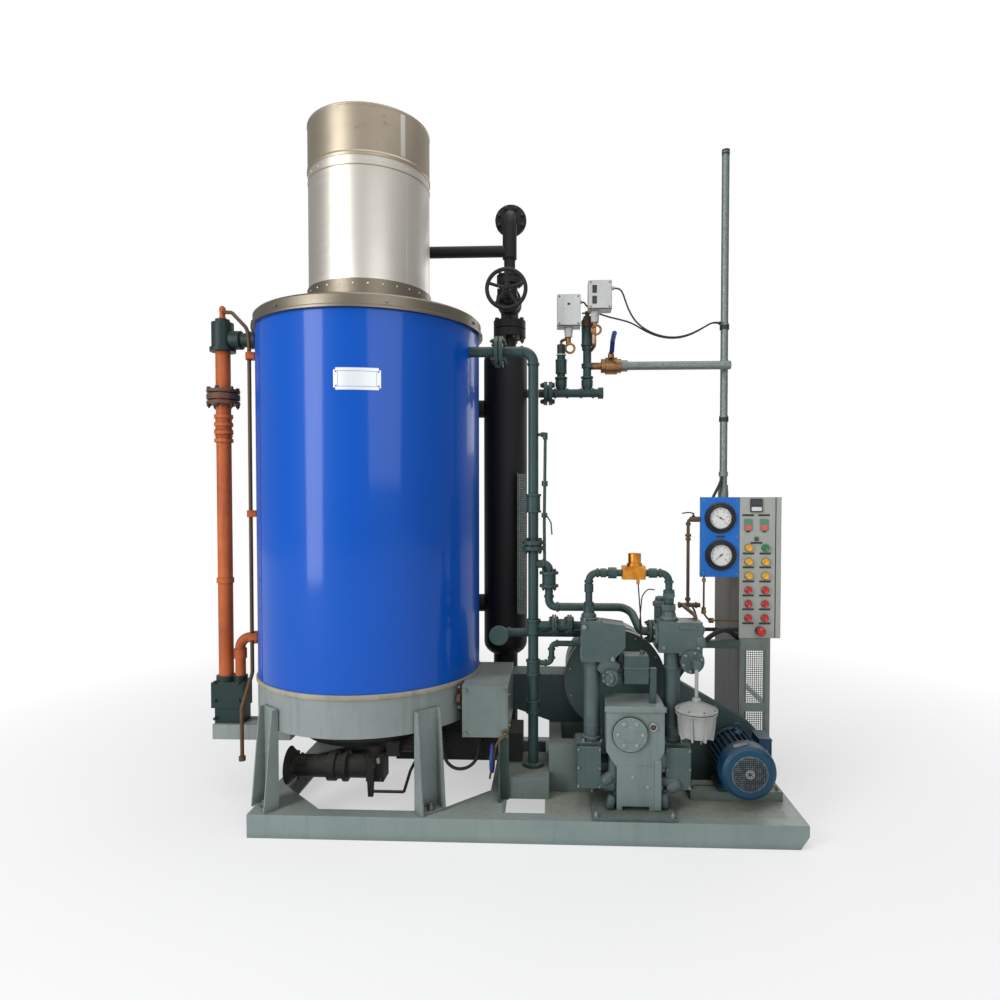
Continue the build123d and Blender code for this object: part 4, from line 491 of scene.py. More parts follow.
black_bolts = enamel("oiled_black_bolts", "#232423", "#343230", worn="#5B5650", roughness=0.4, wear=0.5,
                     dust=0.3,
                     grain_mm=2.0, grain_depth=0.00005)
gas_bolts = bmesh.new()
gas_y, gas_z = -0.250, 0.205
flange_bolts(gas_bolts, (-0.948, gas_y, gas_z), RIGHT, 0.054, 6, 0.012, 0.014)
for side in (-1, 1):
    for z in (gas_z - 0.034, gas_z + 0.050):
        hex_bolt(gas_bolts, (-0.604 + side * 0.026, gas_y - 0.044, z), TO_OPERATOR, 0.010)
piece("gas_train_bolts", gas_bolts, black_bolts)

rubber_hose, hose_tree, hose_shader, _ = two_tone("black_rubber_hose", "#161616", "#2A2826", 40.0, 3.0,
                                                  Roughness=0.55, IOR=1.5)
hose_place = add(hose_tree, "TexCoord").outputs["Object"]
hose_fine = add(hose_tree, "TexNoise", {"Scale": 500.0}, {"Vector": hose_place})
hose_bump = add(hose_tree, "Bump", {"Distance": 0.0001}, {"Height": hose_fine})
hose_tree.links.new(hose_bump.outputs[0], hose_shader.inputs["Normal"])


def hanging_cord(name, route, radius, material):
    """A cord on one smooth spline whose control points are the route."""
    curve = bpy.data.curves.new(name, "CURVE")
    curve.dimensions = "3D"
    curve.bevel_depth = radius
    curve.bevel_resolution = 5
    curve.resolution_u = 12
    curve.use_fill_caps = True
    spline = curve.splines.new("NURBS")
    spline.points.add(len(route) - 1)
    for point, place in zip(spline.points, route):
        point.co = (*place, 1.0)
    spline.order_u = 3
    spline.use_endpoint_u = True
    curve.materials.append(material)
    made = bpy.data.objects.new(name, curve)
    bpy.context.scene.collection.objects.link(made)
    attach(made, "generator")
    return made


HOSE_RADIUS = 0.007
hose_route = [
    (-0.354, -0.124, 0.258), (-0.354, -0.124, 0.200), (-0.311, -0.127, 0.150), (-0.246, -0.129, 0.154),
    (-0.201, -0.124, 0.202), (-0.201, -0.124, 0.258),
]
hose = hanging_cord("burner_hose_line", hose_route, HOSE_RADIUS, rubber_hose)
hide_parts("burner_hose")

# Left side pipework. The water tee and the lower block are dark green castings,
# the long pipe is bare steel in orange-brown primer with a threaded length and
# a flange pair, and a thin weathered drain tube runs down the jacket in clips.
casting_green = enamel("dark_green_casting_enamel", "#0A2B28", "#071F1D", worn="#51655F", grime_and_shade="#22241F",
                       roughness=0.42,
                       wear=0.5, dust=0.3, grain_mm=4.0, grain_depth=0.0004)
primer = enamel("orange_brown_primer_on_steel_pipe", "#C86632", "#9C4B23", worn="#C98860", grime_and_shade="#5A3322",
                roughness=0.5,
                wear=0.4, dust=0.15, grain_mm=6.0, grain_depth=0.00035, grime_amount=0.6)
tube_brown = enamel("weathered_brown_tube", "#62492F", "#453223", worn="#8A6B50", grime_and_shade="#2B2420",
                    roughness=0.5, wear=0.4)
paint_node("upper_water_tee", casting_green)
paint_node("lower_water_block", casting_green)
paint_node("left_water_pipes", primer)
paint_node("drain_tube", tube_brown)
paint_node("pipe_bracket", skirt_grey)

# Air supply and drive cover. Folded sheet-steel duct, box and belt guard in
# dark grey-green machine enamel, and a welded stand and base on the deck.
machine_green = enamel("dark_grey_green_machine_enamel", "#3F5350", "#334645", worn="#7E8A86",
                       grime_and_shade="#2A2E2B",
                       roughness=0.4, wear=0.55, dust=0.45)
cast_green = enamel("grey_green_enamel_on_castings", "#50625F", "#415451", worn="#808C88", grime_and_shade="#2C302C",
                    roughness=0.38, wear=0.6, dust=0.4, grain_mm=4.5, grain_depth=0.0005)
pale_green = enamel("pale_grey_enamel_on_cover_box", "#6F7D79", "#5E6B68", worn="#98A09B", dust=0.5,
                    wear=0.5)
for name in ("air_duct", "fan_casing", "belt_guard", "fuel_valve_post"):
    paint_node(name, machine_green)
paint_node("air_cover_box", pale_green)
paint_node("equipment_base", pale_green)

handle_blue = enamel("blue_handle_enamel", "#173A80", "#122D66", worn="#7C8898", roughness=0.35, wear=0.5,
                     dust=0.15,
                     grain_mm=2.0, grain_depth=0.00004)
paint_node("fuel_handwheel", handle_blue)

# Steam side. Black heat-resistant paint on the separator, stop valve and riser;
# the small header and its branches are threaded malleable fittings.
for name in ("steam_separator", "stop_valve", "stop_handwheel", "steam_riser"):
    paint_node(name, heat_black)
pipe_green = enamel("dark_green_enamel_on_pipe", "#304A48", "#263D3B", worn="#72817D", grime_and_shade="#23282A",
                    roughness=0.38,
                    wear=0.5, dust=0.35, grain_mm=3.0, grain_depth=0.0002)
for name in ("relief_header", "coil_outlet_pipe"):
    paint_node(name, pipe_green)


def cast_brass(name, colour, tarnish, roughness=0.34):
    """Sand-cast and machined brass, bright on the high places and brown where it is tarnished."""
    material, tree, shader = new_material(name, Metallic=1.0)
    place = add(tree, "TexCoord").outputs["Object"]
    cloud = add(tree, "TexNoise", {"Scale": 26.0, "Detail": 5.0}, {"Vector": place})
    level = add(tree, "MapRange", {1: 0.42, 2: 0.68}, {0: cloud})
    colours = mix(tree, level, colour, tarnish)
    tree.links.new(colours, shader.inputs["Base Color"])
    rough = add(tree, "MapRange", {3: roughness, 4: roughness + 0.2}, {0: cloud})
    tree.links.new(rough.outputs[0], shader.inputs["Roughness"])
    round_edge = add(tree, "Bevel", {"Radius": 0.002}, samples=4)
    grain = add(tree, "TexNoise", {"Scale": 320.0, "Detail": 2.0}, {"Vector": place})
    bump = add(tree, "Bump", {"Distance": 0.00025}, {"Height": grain, "Normal": round_edge})
    tree.links.new(bump.outputs[0], shader.inputs["Normal"])
    return material


brown_brass = cast_brass("tarnished_cast_brass", "#8F6E48", "#54402C")
bright_brass = cast_brass("bright_cast_brass", "#D08C34", "#A0602A", 0.3)
paint_node("ball_valve", brown_brass)
paint_node("ball_valve_lever", handle_blue)

silver_case = enamel("silver_grey_die_cast_case", "#B4B6B3", "#8F9290", worn="#D0D0CC", grime_and_shade="#6D6A62",
                     roughness=0.36,
                     wear=0.3, dust=0.3, grain_mm=1.5, grain_depth=0.00008)

galvanised, galv_tree, galv_shader = new_material("hot_dip_galvanised_steel", Metallic=0.75, Roughness=0.5)
galv_place = add(galv_tree, "TexCoord").outputs["Object"]
spangle = add(galv_tree, "TexVoronoi", {"Scale": 90.0}, {"Vector": galv_place})
spangle_tone = add(galv_tree, "SeparateColor", None, {0: spangle.outputs["Color"]})
galv_colour = mix(galv_tree, spangle_tone, "#717C77", "#7F8984")
galv_tree.links.new(galv_colour, galv_shader.inputs["Base Color"])
galv_rough = add(galv_tree, "MapRange", {3: 0.40, 4: 0.6}, {0: spangle_tone.outputs[1]})
galv_tree.links.new(galv_rough.outputs[0], galv_shader.inputs["Roughness"])
paint_node("discharge_pipe", galvanised)
paint_node("conduit", galvanised)
paint_node("separator_guard", galvanised)

# Switch cables. Two black rubber cables leave the glands of the pressure
# switches, sag across to the conduit side by side and enter its gland.
CABLE_RADIUS = 0.004
upper_route = [
    (0.400, 0.259, 2.286), (0.424, 0.259, 2.286), (0.441, 0.260, 2.262), (0.454, 0.262, 2.222),
    (0.472, 0.265, 2.178),
    (0.503, 0.271, 2.130), (0.556, 0.280, 2.092), (0.622, 0.291, 2.068), (0.692, 0.303, 2.063),
    (0.762, 0.316, 2.080),
    (0.826, 0.327, 2.113), (0.88135, 0.33497, 2.146), (0.92177, 0.36607, 2.146),
]
lower_route = [
    (0.249, 0.280, 2.229), (0.261, 0.280, 2.229), (0.269, 0.300, 2.220), (0.290, 0.313, 2.207),
    (0.330, 0.318, 2.185),
    (0.380, 0.312, 2.166), (0.432, 0.298, 2.150), (0.486, 0.284, 2.130), (0.556, 0.289, 2.088),
    (0.622, 0.300, 2.066),
    (0.692, 0.312, 2.061), (0.762, 0.325, 2.078), (0.826, 0.336, 2.113), (0.87549, 0.34258, 2.146),
    (0.91591, 0.37368, 2.146),
]
upper_cable = hanging_cord("switch_cable_upper", upper_route, CABLE_RADIUS, rubber_hose)
lower_cable = hanging_cord("switch_cable_lower", lower_route, CABLE_RADIUS, rubber_hose)
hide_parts("switch_cables")

# Feed pump and its pipework. Castings and threaded pipe under one thick coat of
# grey-green enamel, chipped at the edges and dusty on top.
paint_node("pump_base_plate", cast_green)
for name in ("pump_discharge_pipe", "suction_pipe", "feed_pipes", "bypass_pipes"):
    paint_node(name, pipe_green)
paint_node("oil_pump_box", machine_green)
paint_node("brass_regulator", bright_brass)
paint_node("actuator", silver_case)

# Electric motor. Cast aluminium body and pressed fan cover in motor blue.
motor_blue = enamel("petrol_blue_motor_enamel", "#074260", "#05344D", worn="#54798A", grime_and_shade="#1D2A30",
                    roughness=0.36,
                    wear=0.45, dust=0.35, grain_mm=2.5, grain_depth=0.00015)
paint_node("motor_body", motor_blue)
paint_node("motor_fan_cover", motor_blue)
paint_node("motor_rails", deck_grey)

# Control panel. Powder-coated sheet-steel case and door on a perforated stand,
# with a blue plate for the two gauges beside it.
panel_grey = enamel("light_grey_powder_coat", "#A9ACA6", "#A0A39C", worn="#C2C2BA", grime_and_shade="#77756B",
                    roughness=0.48,
                    wear=0.2, dust=0.25, grain_mm=1.2, grain_depth=0.00008, grime_amount=0.25)
stand_grey = enamel("grey_green_paint_on_stand", "#7C8781", "#6C7771", worn="#A4A9A2", dust=0.35, wear=0.4)
plate_blue = enamel("blue_painted_gauge_plate", "#0870CE", "#0662B8", worn="#6E8DB0", roughness=0.35,
                    wear=0.3, dust=0.2,
                    grain_mm=2.0, grain_depth=0.00005)
black_rim = enamel("black_enamel_gauge_case", "#151618", "#1D1F21", worn="#4A4A48", roughness=0.3, wear=0.3,
                   dust=0.15,
                   grain_mm=1.5, grain_depth=0.00003)
paint_node("panel_case", panel_grey)
paint_node("panel_door", panel_grey)
paint_node("panel_stand", stand_grey)
paint_node("gauge_plate", plate_blue)
paint_node("pressure_gauges", black_rim)
paint_node("panel_buttons", black_rim)
paint_node("gauge_line", tube_brown)

# Flanges and threaded fittings of the pipework. Each flange pair is drawn
# together by black bolts, and each screwed joint has a malleable-iron band.
pipe_bolts = bmesh.new()
OUTLET_X, OUTLET_Y = 0.030, -0.130
HEADER_Y, SEPARATOR_X = 0.320, -0.095
BRANCH_X, RELIEF_X = 0.153, 0.2775
LEFT_HEAD_X, RIGHT_HEAD_X, HEAD_Y = 0.254, 0.568, -0.280
FLANGE_PAIRS = (
    ((-0.113, OUTLET_Y, 1.910), RIGHT, 0.052, 4, 0.0165, 0.017, pi / 4),
    ((OUTLET_X, OUTLET_Y, 1.104), UP, 0.040, 4, 0.019, 0.014, pi / 4),
    ((0.090, HEADER_Y, 1.806), RIGHT, 0.045, 6, 0.021, 0.015, pi / 6),
    ((0.096, OUTLET_Y, 0.962), UP, 0.033, 4, 0.032, 0.012, pi / 4),
    ((0.506, -0.240, 0.768), RIGHT, 0.037, 6, 0.012, 0.012, pi / 6),
    ((0.118, OUTLET_Y, 0.769), RIGHT, 0.036, 4, 0.009, 0.012, pi / 4),
    ((0.182, OUTLET_Y, 0.769), RIGHT, 0.036, 4, 0.009, 0.012, pi / 4),
)
for centre, axis, circle, count, grip, across, turn in FLANGE_PAIRS:
    flange_bolts(pipe_bolts, centre, axis, circle, count, grip, across, turn)
piece("pipe_flange_bolts", pipe_bolts, black_bolts)

steam_bolts = bmesh.new()
flange_bolts(steam_bolts, (SEPARATOR_X, HEADER_Y, 2.112), UP, 0.064, 8, 0.039, 0.018, pi / 8)
flange_bolts(steam_bolts, (SEPARATOR_X, HEADER_Y, 2.351), UP, 0.050, 6, 0.016, 0.015, pi / 6)
for a in turns(8):
    hex_bolt(steam_bolts, (SEPARATOR_X + 0.047 * cos(a), 0.228, 2.231 + 0.047 * sin(a)), TO_OPERATOR, 0.013,
             stud=0.005)
    a = a + pi / 8
    hex_bolt(steam_bolts, (-0.5595, HEADER_Y + 0.062 * cos(a), 2.487 + 0.062 * sin(a)), RIGHT, 0.015)
    hex_bolt(steam_bolts, (SEPARATOR_X + 0.062 * cos(a), 0.412, 2.672 + 0.062 * sin(a)), TO_OPERATOR, 0.015)
piece("steam_flange_bolts", steam_bolts, black_bolts)

left_bolts = bmesh.new()
LEFT_X, LEFT_Y = -1.326, -0.050
flange_bolts(left_bolts, (LEFT_X, LEFT_Y, 1.741), UP, 0.058, 6, 0.032, 0.015, pi / 6)
piece("left_pipe_flange_bolts", left_bolts, black_bolts)


def band(shape, centre, axis, pipe_radius, width, proud=0.004):
    """Adds the thick beaded rim of a screwed fitting round a pipe."""
    low, high = -width / 2, width / 2
    r_in, r_out = pipe_radius - 0.001, pipe_radius + proud
    lathe(shape, [(r_in, low), (r_out * 0.98, low), (r_out, low + width * 0.2), (r_out, high - width * 0.2),
                  (r_out * 0.98, high), (r_in, high), (r_in, low)], facing(centre, axis), 28)


bands = bmesh.new()
BANDS = (
    ((-0.018, OUTLET_Y, 1.910), RIGHT, 0.0215, 0.010), ((OUTLET_X, OUTLET_Y, 1.858), UP, 0.0215, 0.010),
    ((OUTLET_X, OUTLET_Y, 1.246), UP, 0.029, 0.010), ((OUTLET_X, OUTLET_Y, 1.314), UP, 0.029, 0.010),
    ((OUTLET_X, OUTLET_Y, 0.738), UP, 0.028, 0.010), ((OUTLET_X, OUTLET_Y, 0.788), UP, 0.028, 0.010),
    ((OUTLET_X, OUTLET_Y, 0.562), UP, 0.027, 0.010), ((OUTLET_X, OUTLET_Y, 0.618), UP, 0.027, 0.010),
    ((OUTLET_X, OUTLET_Y, 0.402), UP, 0.026, 0.010), ((OUTLET_X, OUTLET_Y, 0.448), UP, 0.026, 0.010),
    ((0.182, HEADER_Y, 1.806), RIGHT, 0.020, 0.012), ((0.124, HEADER_Y, 1.806), RIGHT, 0.020, 0.012),
    ((0.248, HEADER_Y, 1.806), RIGHT, 0.020, 0.012), ((0.306, HEADER_Y, 1.806), RIGHT, 0.020, 0.012),
    ((BRANCH_X, HEADER_Y, 1.836), UP, 0.022, 0.012), ((BRANCH_X, HEADER_Y, 1.878), UP, 0.026, 0.010),
    ((BRANCH_X, HEADER_Y, 1.962), UP, 0.024, 0.010), ((RELIEF_X, HEADER_Y, 1.836), UP, 0.022, 0.012),
    ((RELIEF_X, HEADER_Y, 1.880), UP, 0.026, 0.010), ((RELIEF_X, HEADER_Y, 2.036), UP, 0.026, 0.012),
    ((RELIEF_X, HEADER_Y, 2.112), UP, 0.024, 0.012),
    ((LEFT_HEAD_X, HEAD_Y, 0.972), UP, 0.014, 0.010), ((0.288, HEAD_Y, 1.006), RIGHT, 0.014, 0.010),
    ((LEFT_HEAD_X, HEAD_Y, 0.884), UP, 0.016, 0.012), ((RIGHT_HEAD_X, HEAD_Y, 0.972), UP, 0.014, 0.010),
    ((0.534, HEAD_Y, 1.006), RIGHT, 0.014, 0.010), ((RIGHT_HEAD_X, HEAD_Y, 0.880), UP, 0.018, 0.010),
    ((RIGHT_HEAD_X, HEAD_Y, 0.934), UP, 0.018, 0.012),
    ((0.096, OUTLET_Y, 0.890), UP, 0.017, 0.010), ((0.132, OUTLET_Y, 0.846), RIGHT, 0.017, 0.010),
    ((0.072, OUTLET_Y, 1.026), RIGHT, 0.017, 0.010), ((0.262, OUTLET_Y, 0.769), RIGHT, 0.017, 0.010),
    ((-0.076, -0.082, 0.728), RIGHT, 0.018, 0.012), ((0.107, OUTLET_Y, 0.632), UP, 0.012, 0.008),
    ((0.107, OUTLET_Y, 0.668), UP, 0.012, 0.008), ((0.130, OUTLET_Y, 0.692), RIGHT, 0.012, 0.008),
    ((0.082, OUTLET_Y, 0.609), RIGHT, 0.012, 0.008), ((0.226, OUTLET_Y, 0.692), RIGHT, 0.012, 0.008),
)
for centre, axis, pipe_radius, width in BANDS:
    band(bands, centre, axis, pipe_radius, width)
piece("fitting_bands", bands, pipe_green)

# Tube beside the coil outlet. A thin pipe leaves the outlet pipe through an
# elbow and comes down to a small cock, screwed together in green enamel.
def bent_tube(shape, points, radius, segments=14, corner=0.02, steps=6):
    """Adds a tube along straight runs with round corners."""
    path = [Vector(points[0])]
    for before, here, after in zip(points, points[1:], points[2:]):
        before, here, after = Vector(before), Vector(here), Vector(after)
        reach = min(corner, (here - before).length / 2, (after - here).length / 2)
        start = here + (before - here).normalized() * reach
        end = here + (after - here).normalized() * reach
        for step in range(steps + 1):
            t = step / steps
            path.append(start * (1 - t) ** 2 + here * 2 * t * (1 - t) + end * t ** 2)
    path.append(Vector(points[-1]))
    side = None
    rings = []
    for index, here in enumerate(path):
        forward = (path[min(index + 1, len(path) - 1)] - path[max(index - 1, 0)]).normalized()
        if side is None:
            side = forward.orthogonal().normalized()
        side = (side - forward * side.dot(forward)).normalized()
        other = forward.cross(side)
        rings.append([shape.verts.new(here + side * radius * cos(a) + other * radius * sin(a))
                      for a in turns(segments)])
    for low, high in zip(rings, rings[1:]):
        for i in range(segments):
            j = (i + 1) % segments
            shape.faces.new((low[i], low[j], high[j], high[i]))
    shape.faces.new(list(reversed(rings[0])))
    shape.faces.new(rings[-1])


side_tube = bmesh.new()
bent_tube(side_tube, [(0.050, OUTLET_Y, 1.566), (0.080, OUTLET_Y, 1.566), (0.076, OUTLET_Y, 1.200),
                      (0.078, OUTLET_Y, 0.985)], 0.0065, corner=0.004)
band(side_tube, (0.0795, OUTLET_Y, 1.560), UP, 0.0065, 0.028, 0.004)
band(side_tube, (0.070, OUTLET_Y, 1.566), RIGHT, 0.0065, 0.018, 0.004)
band(side_tube, (0.0775, OUTLET_Y, 1.362), UP, 0.0065, 0.022, 0.0065)
band(side_tube, (0.0765, OUTLET_Y, 1.230), UP, 0.0065, 0.020, 0.006)
bent_tube(side_tube, [(0.077, -0.137, 1.236), (0.082, -0.150, 1.236), (0.104, -0.152, 1.200),
                      (0.108, -0.152, 1.150)], 0.003, 8, 0.006)
piece("outlet_side_tube", side_tube, pipe_green)

# Perforated guards. Punched sheet with plain borders: a galvanised strip beside
# the separator and the fields in the panel stand's front.
def perforated(shape, corner, across, up, columns, rows, pitch, hole, thick):
    """Adds punched sheet: square cells, each with a round hole, out from a corner."""
    across, up = Vector(across), Vector(up)
    out = across.cross(up) * thick
    sides = 12
    for column in range(columns):
        for row in range(rows):
            centre = Vector(corner) + across * pitch * (column + 0.5) + up * pitch * (row + 0.5)
            outer, inner = [], []
            for i in range(sides):
                a = 2 * pi * (i + 0.5) / sides
                reach = 0.5 * pitch / max(abs(cos(a)), abs(sin(a)))
                outer.append(centre + across * reach * cos(a) + up * reach * sin(a))
                inner.append(centre + across * hole * cos(a) + up * hole * sin(a))
            front_out = [shape.verts.new(p) for p in outer]
            front_in = [shape.verts.new(p) for p in inner]
            back_in = [shape.verts.new(p - out) for p in inner]
            back_out = [shape.verts.new(p - out) for p in outer]
            for i in range(sides):
                j = (i + 1) % sides
                shape.faces.new((front_out[i], front_out[j], front_in[j], front_in[i]))
                shape.faces.new((front_in[i], front_in[j], back_in[j], back_in[i]))
                shape.faces.new((back_in[i], back_in[j], back_out[j], back_out[i]))
    bmesh.ops.remove_doubles(shape, verts=shape.verts, dist=0.00002)


stand_front_x, stand_end_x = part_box("panel_stand")[0][0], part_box("panel_stand")[1][0]
stand_front_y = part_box("panel_stand")[0][1]
stand_top_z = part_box("panel_stand")[1][2]
STAND_PITCH = 0.0092
STAND_HOLE = 0.0034
field_columns = 10
field_left = (stand_front_x + stand_end_x) / 2 - field_columns * STAND_PITCH / 2
stand_mesh = bmesh.new()
for field_low, field_rows in ((0.128, 27), (0.412, 25)):
    perforated(stand_mesh, (field_left, stand_front_y - 0.0018, field_low), RIGHT, UP, field_columns,
               field_rows,
               STAND_PITCH, STAND_HOLE, 0.0015)
piece("stand_punched_fields", stand_mesh, stand_grey)
stand_sheet = bmesh.new()
front_place = Matrix(((1, 0, 0, 0), (0, 0, 1, stand_front_y - 0.0018), (0, 1, 0, 0), (0, 0, 0, 1)))
field_right = field_left + field_columns * STAND_PITCH
fields = ((0.128, 0.128 + 27 * STAND_PITCH), (0.412, 0.412 + 25 * STAND_PITCH))
sheet_low, sheet_high = deck_z + 0.004, stand_top_z - 0.002
for x_low, x_high, z_low, z_high in (
    (stand_front_x, field_left, sheet_low, sheet_high), (field_right, stand_end_x, sheet_low, sheet_high),
    (field_left, field_right, sheet_low, fields[0][0]),
    (field_left, field_right, fields[0][1], fields[1][0]),
    (field_left, field_right, fields[1][1], sheet_high),
):
    prism(stand_sheet, [(x_low, z_low), (x_high, z_low), (x_high, z_high), (x_low, z_high)], 0.0015,
          front_place)
piece("stand_front_sheet", stand_sheet, stand_grey)
stand_side = bmesh.new()
side_place = siding(stand_front_x - 0.0016)
prism(stand_side, [(0.001, sheet_low), (0.429, sheet_low), (0.429, sheet_high), (0.001, sheet_high)], 0.0015,
      side_place)
# Painted shade: the stand's left side sheet is coloured far darker than the stand, as if in shadow.
stand_side_painted_shade = enamel("dark_painted_shade_on_stand_side", "#232825", "#1A1E1C", worn="#6F756F", dust=0.3,
                    wear=0.4,
                    roughness=0.45, grime_amount=0.6)
piece("stand_side_sheet", stand_side, stand_side_painted_shade)
stand_screws = bmesh.new()
for x in (stand_front_x + 0.010, stand_end_x - 0.010):
    for z in (0.115, 0.260, 0.395, 0.520, 0.640, 0.680):
        lathe(stand_screws, [(0.0045, 0), (0.0042, 0.0015), (0.002, 0.0024), (0, 0.0026)],
              facing((x, stand_front_y - 0.0018, z), TO_OPERATOR), 14)
piece("stand_screws", stand_screws, zinc_plate)

strip_low, strip_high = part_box("separator_guard")
strip_mesh = bmesh.new()
STRIP_PITCH = 0.0085
strip_columns = int((strip_high[0] - strip_low[0]) / STRIP_PITCH)
strip_rows = int((strip_high[2] - strip_low[2]) / STRIP_PITCH)
perforated(strip_mesh, (strip_low[0] + 0.001, strip_low[1], strip_low[2]), RIGHT, UP, strip_columns,
           strip_rows,
           STRIP_PITCH, 0.0027, 0.0012)
strip_sheet = piece("separator_punched_strip", strip_mesh, galvanised)
strip_back = bmesh.new()
back_place = siding(strip_low[0])
prism(strip_back, [(strip_low[1], strip_low[2]), (strip_high[1], strip_low[2]),
                   (strip_high[1], strip_high[2]), (strip_low[1], strip_high[2])],
      0.0012, back_place)
piece("separator_strip_flange", strip_back, galvanised)
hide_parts("separator_guard")

# Gauges. Two dial gauges in black cases on the blue plate, with white printed
# dials, plain numbers and a needle each; the clear sheen on the dial is its glass.
def coloured_plastic(name, colour, roughness=0.35, coat=0.3):
    """Glossy moulded plastic of one colour, with a faint cloud and a soft clear sheen."""
    deep = [channel * 0.82 for channel in linear(colour)[:3]] + [1.0]
    material, tree, shader, cloud = two_tone(name, colour, deep, 130.0, 3.0, Roughness=roughness, IOR=1.5,
                                             Coat_Weight=coat, Coat_Roughness=0.1)
    bump = add(tree, "Bump", {"Distance": 0.00004}, {"Height": cloud})
    tree.links.new(bump.outputs[0], shader.inputs["Normal"])
    return material


dial_white = coloured_plastic("white_dial_under_flat_glass", "#E9EAE8", 0.5, 0.6)
print_black = coloured_plastic("black_dial_print", "#17181A", 0.5, 0.0)
needle_red = coloured_plastic("red_needle_tail", "#B3301E", 0.4, 0.1)
CASE_RADIUS = 0.066
DIAL_RADIUS = 0.0455
GAUGE_FACE_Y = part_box("pressure_gauges")[0][1]
GAUGES = ((0.835, 1.216, 150.0, True), (0.838, 1.055, 222.0, False))
rims_mesh, dials, marks, needles, tails = (bmesh.new() for _ in range(5))
NUMBER_HEIGHT = 0.0085
numbers = []
for gauge_x, gauge_z, needle_turn, has_tail in GAUGES:
    front = facing((gauge_x, GAUGE_FACE_Y, gauge_z), TO_OPERATOR)
    lathe(rims_mesh, [(CASE_RADIUS, 0), (CASE_RADIUS, 0.003), (0.0635, 0.0065), (0.0600, 0.0072),
                      (0.0585, 0.0055),
                      (0.0560, 0.0055), (0.0545, 0.0105), (0.0520, 0.0125), (0.0480, 0.0125),
                      (DIAL_RADIUS, 0.0100),
                      (DIAL_RADIUS, 0.0008), (0, 0.0004)], front, 64)
    lathe(dials, [(DIAL_RADIUS, 0.0008), (DIAL_RADIUS, 0.0018), (0, 0.0018)], front, 64)
    flat = fronting(gauge_x, GAUGE_FACE_Y - 0.0018, gauge_z)
    for tick in range(51):
        a = radians(225 - 270 * tick / 50)
        long = tick % 5 == 0
        inner, outer, half = (0.0335 if long else 0.0365), 0.0408, (0.0008 if long else 0.00035)
        dx, dz = cos(a), sin(a)
        corners = [(inner * dx - half * dz, inner * dz + half * dx),
                   (outer * dx - half * dz, outer * dz + half * dx),
                   (outer * dx + half * dz, outer * dz - half * dx),
                   (inner * dx + half * dz, inner * dz - half * dx)]
        prism(marks, corners, 0.0002, flat)
        if tick % 10 == 0:
            numbers.append((str(tick // 5 * 2), gauge_x + 0.0275 * dx, gauge_z + 0.0275 * dz))
    a = radians(needle_turn)
    dx, dz = cos(a), sin(a)
    high = flat @ Matrix.Translation((0, 0, 0.0030))
    tip, side = 0.036, 0.0015
    prism(needles, [(-0.002 * dx - side * dz, -0.002 * dz + side * dx),
                    (-0.002 * dx + side * dz, -0.002 * dz - side * dx),
                    (tip * dx, tip * dz)], 0.0005, high)
    lathe(needles, [(0.0035, 0.0018), (0.0035, 0.0058), (0, 0.0062)], front, 20)
    tail = 0.016 if has_tail else 0.009
    prism(tails if has_tail else needles, [(-tail * dx - 1.3 * side * dz, -tail * dz + 1.3 * side * dx),
                                          (-tail * dx + 1.3 * side * dz, -tail * dz - 1.3 * side * dx),
                                          (-0.002 * dx + side * dz, -0.002 * dz - side * dx),
                                          (-0.002 * dx - side * dz, -0.002 * dz + side * dx)], 0.0005, high)
    for index in range(3):
        a = radians(90 + 120 * index)
        lathe(rims_mesh, [(0.0028, 0.006), (0.0028, 0.0085), (0.0018, 0.0092), (0, 0.0092)],
              front @ Matrix.Translation((0.0610 * cos(a), 0.0610 * sin(a), 0)), 12)
piece("gauge_rings", rims_mesh, black_rim)
piece("gauge_dials", dials, dial_white)
piece("gauge_ticks", marks, print_black)
piece("gauge_needles", needles, print_black)
piece("gauge_needle_tail", tails, needle_red)


def printed_numbers(name, entries, height, y, material):
    """Plain numbers as one thin mesh that faces the operator."""
    shape = bmesh.new()
    for words, x, z in entries:
        curve = bpy.data.curves.new(name, "FONT")
        curve.body = words
        curve.size = height
        curve.align_x = "CENTER"
        curve.align_y = "CENTER"
        curve.extrude = 0.0001
        text = bpy.data.objects.new(name, curve)
        data = bpy.data.meshes.new_from_object(text)
        data.transform(fronting(x, y, z))
        shape.from_mesh(data)
        bpy.data.objects.remove(text)
    return piece(name, shape, material)


printed_numbers("gauge_numbers", numbers, NUMBER_HEIGHT, GAUGE_FACE_Y - 0.0019, print_black)

# Control panel face. Moulded lamps and push buttons in chrome-free grey rings,
# black label strips left bare, two rocker switches in grey frames, a small
# controller, and a red mushroom button for emergency stop.
PANEL_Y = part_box("panel_case")[0][1]
lens_yellow = coloured_plastic("yellow_button_cap", "#E9AA02", 0.3, 0.25)
lens_red = coloured_plastic("red_button_cap", "#C4080E", 0.3, 0.25)
lens_green = coloured_plastic("green_button_cap", "#067A3C", 0.3, 0.25)
dark_lens = coloured_plastic("dark_green_lamp_lens", "#0C3B26", 0.2, 0.6)
black_plastic = coloured_plastic("black_moulded_plastic", "#1B1C1E", 0.42, 0.1)
grey_plastic = coloured_plastic("grey_moulded_plastic", "#7F8C84", 0.42, 0.1)
rocker_green = coloured_plastic("green_rocker", "#4E8E6B", 0.4, 0.2)
rocker_red = coloured_plastic("red_rocker", "#D2453A", 0.4, 0.2)
label_white = coloured_plastic("pale_display_label", "#DCE0DD", 0.4, 0.2)
LAMP_X = (0.957, 1.028)
LAMP_ROWS = ((1.087, lens_yellow, lens_green), (1.027, lens_yellow, lens_yellow),
             (0.966, lens_yellow, lens_yellow),
             (0.905, lens_red, lens_red), (0.845, lens_red, lens_red), (0.784, lens_red, lens_red))
button_rings, strips = bmesh.new(), bmesh.new()
caps = {}
panel_flat = fronting(0, PANEL_Y, 0)


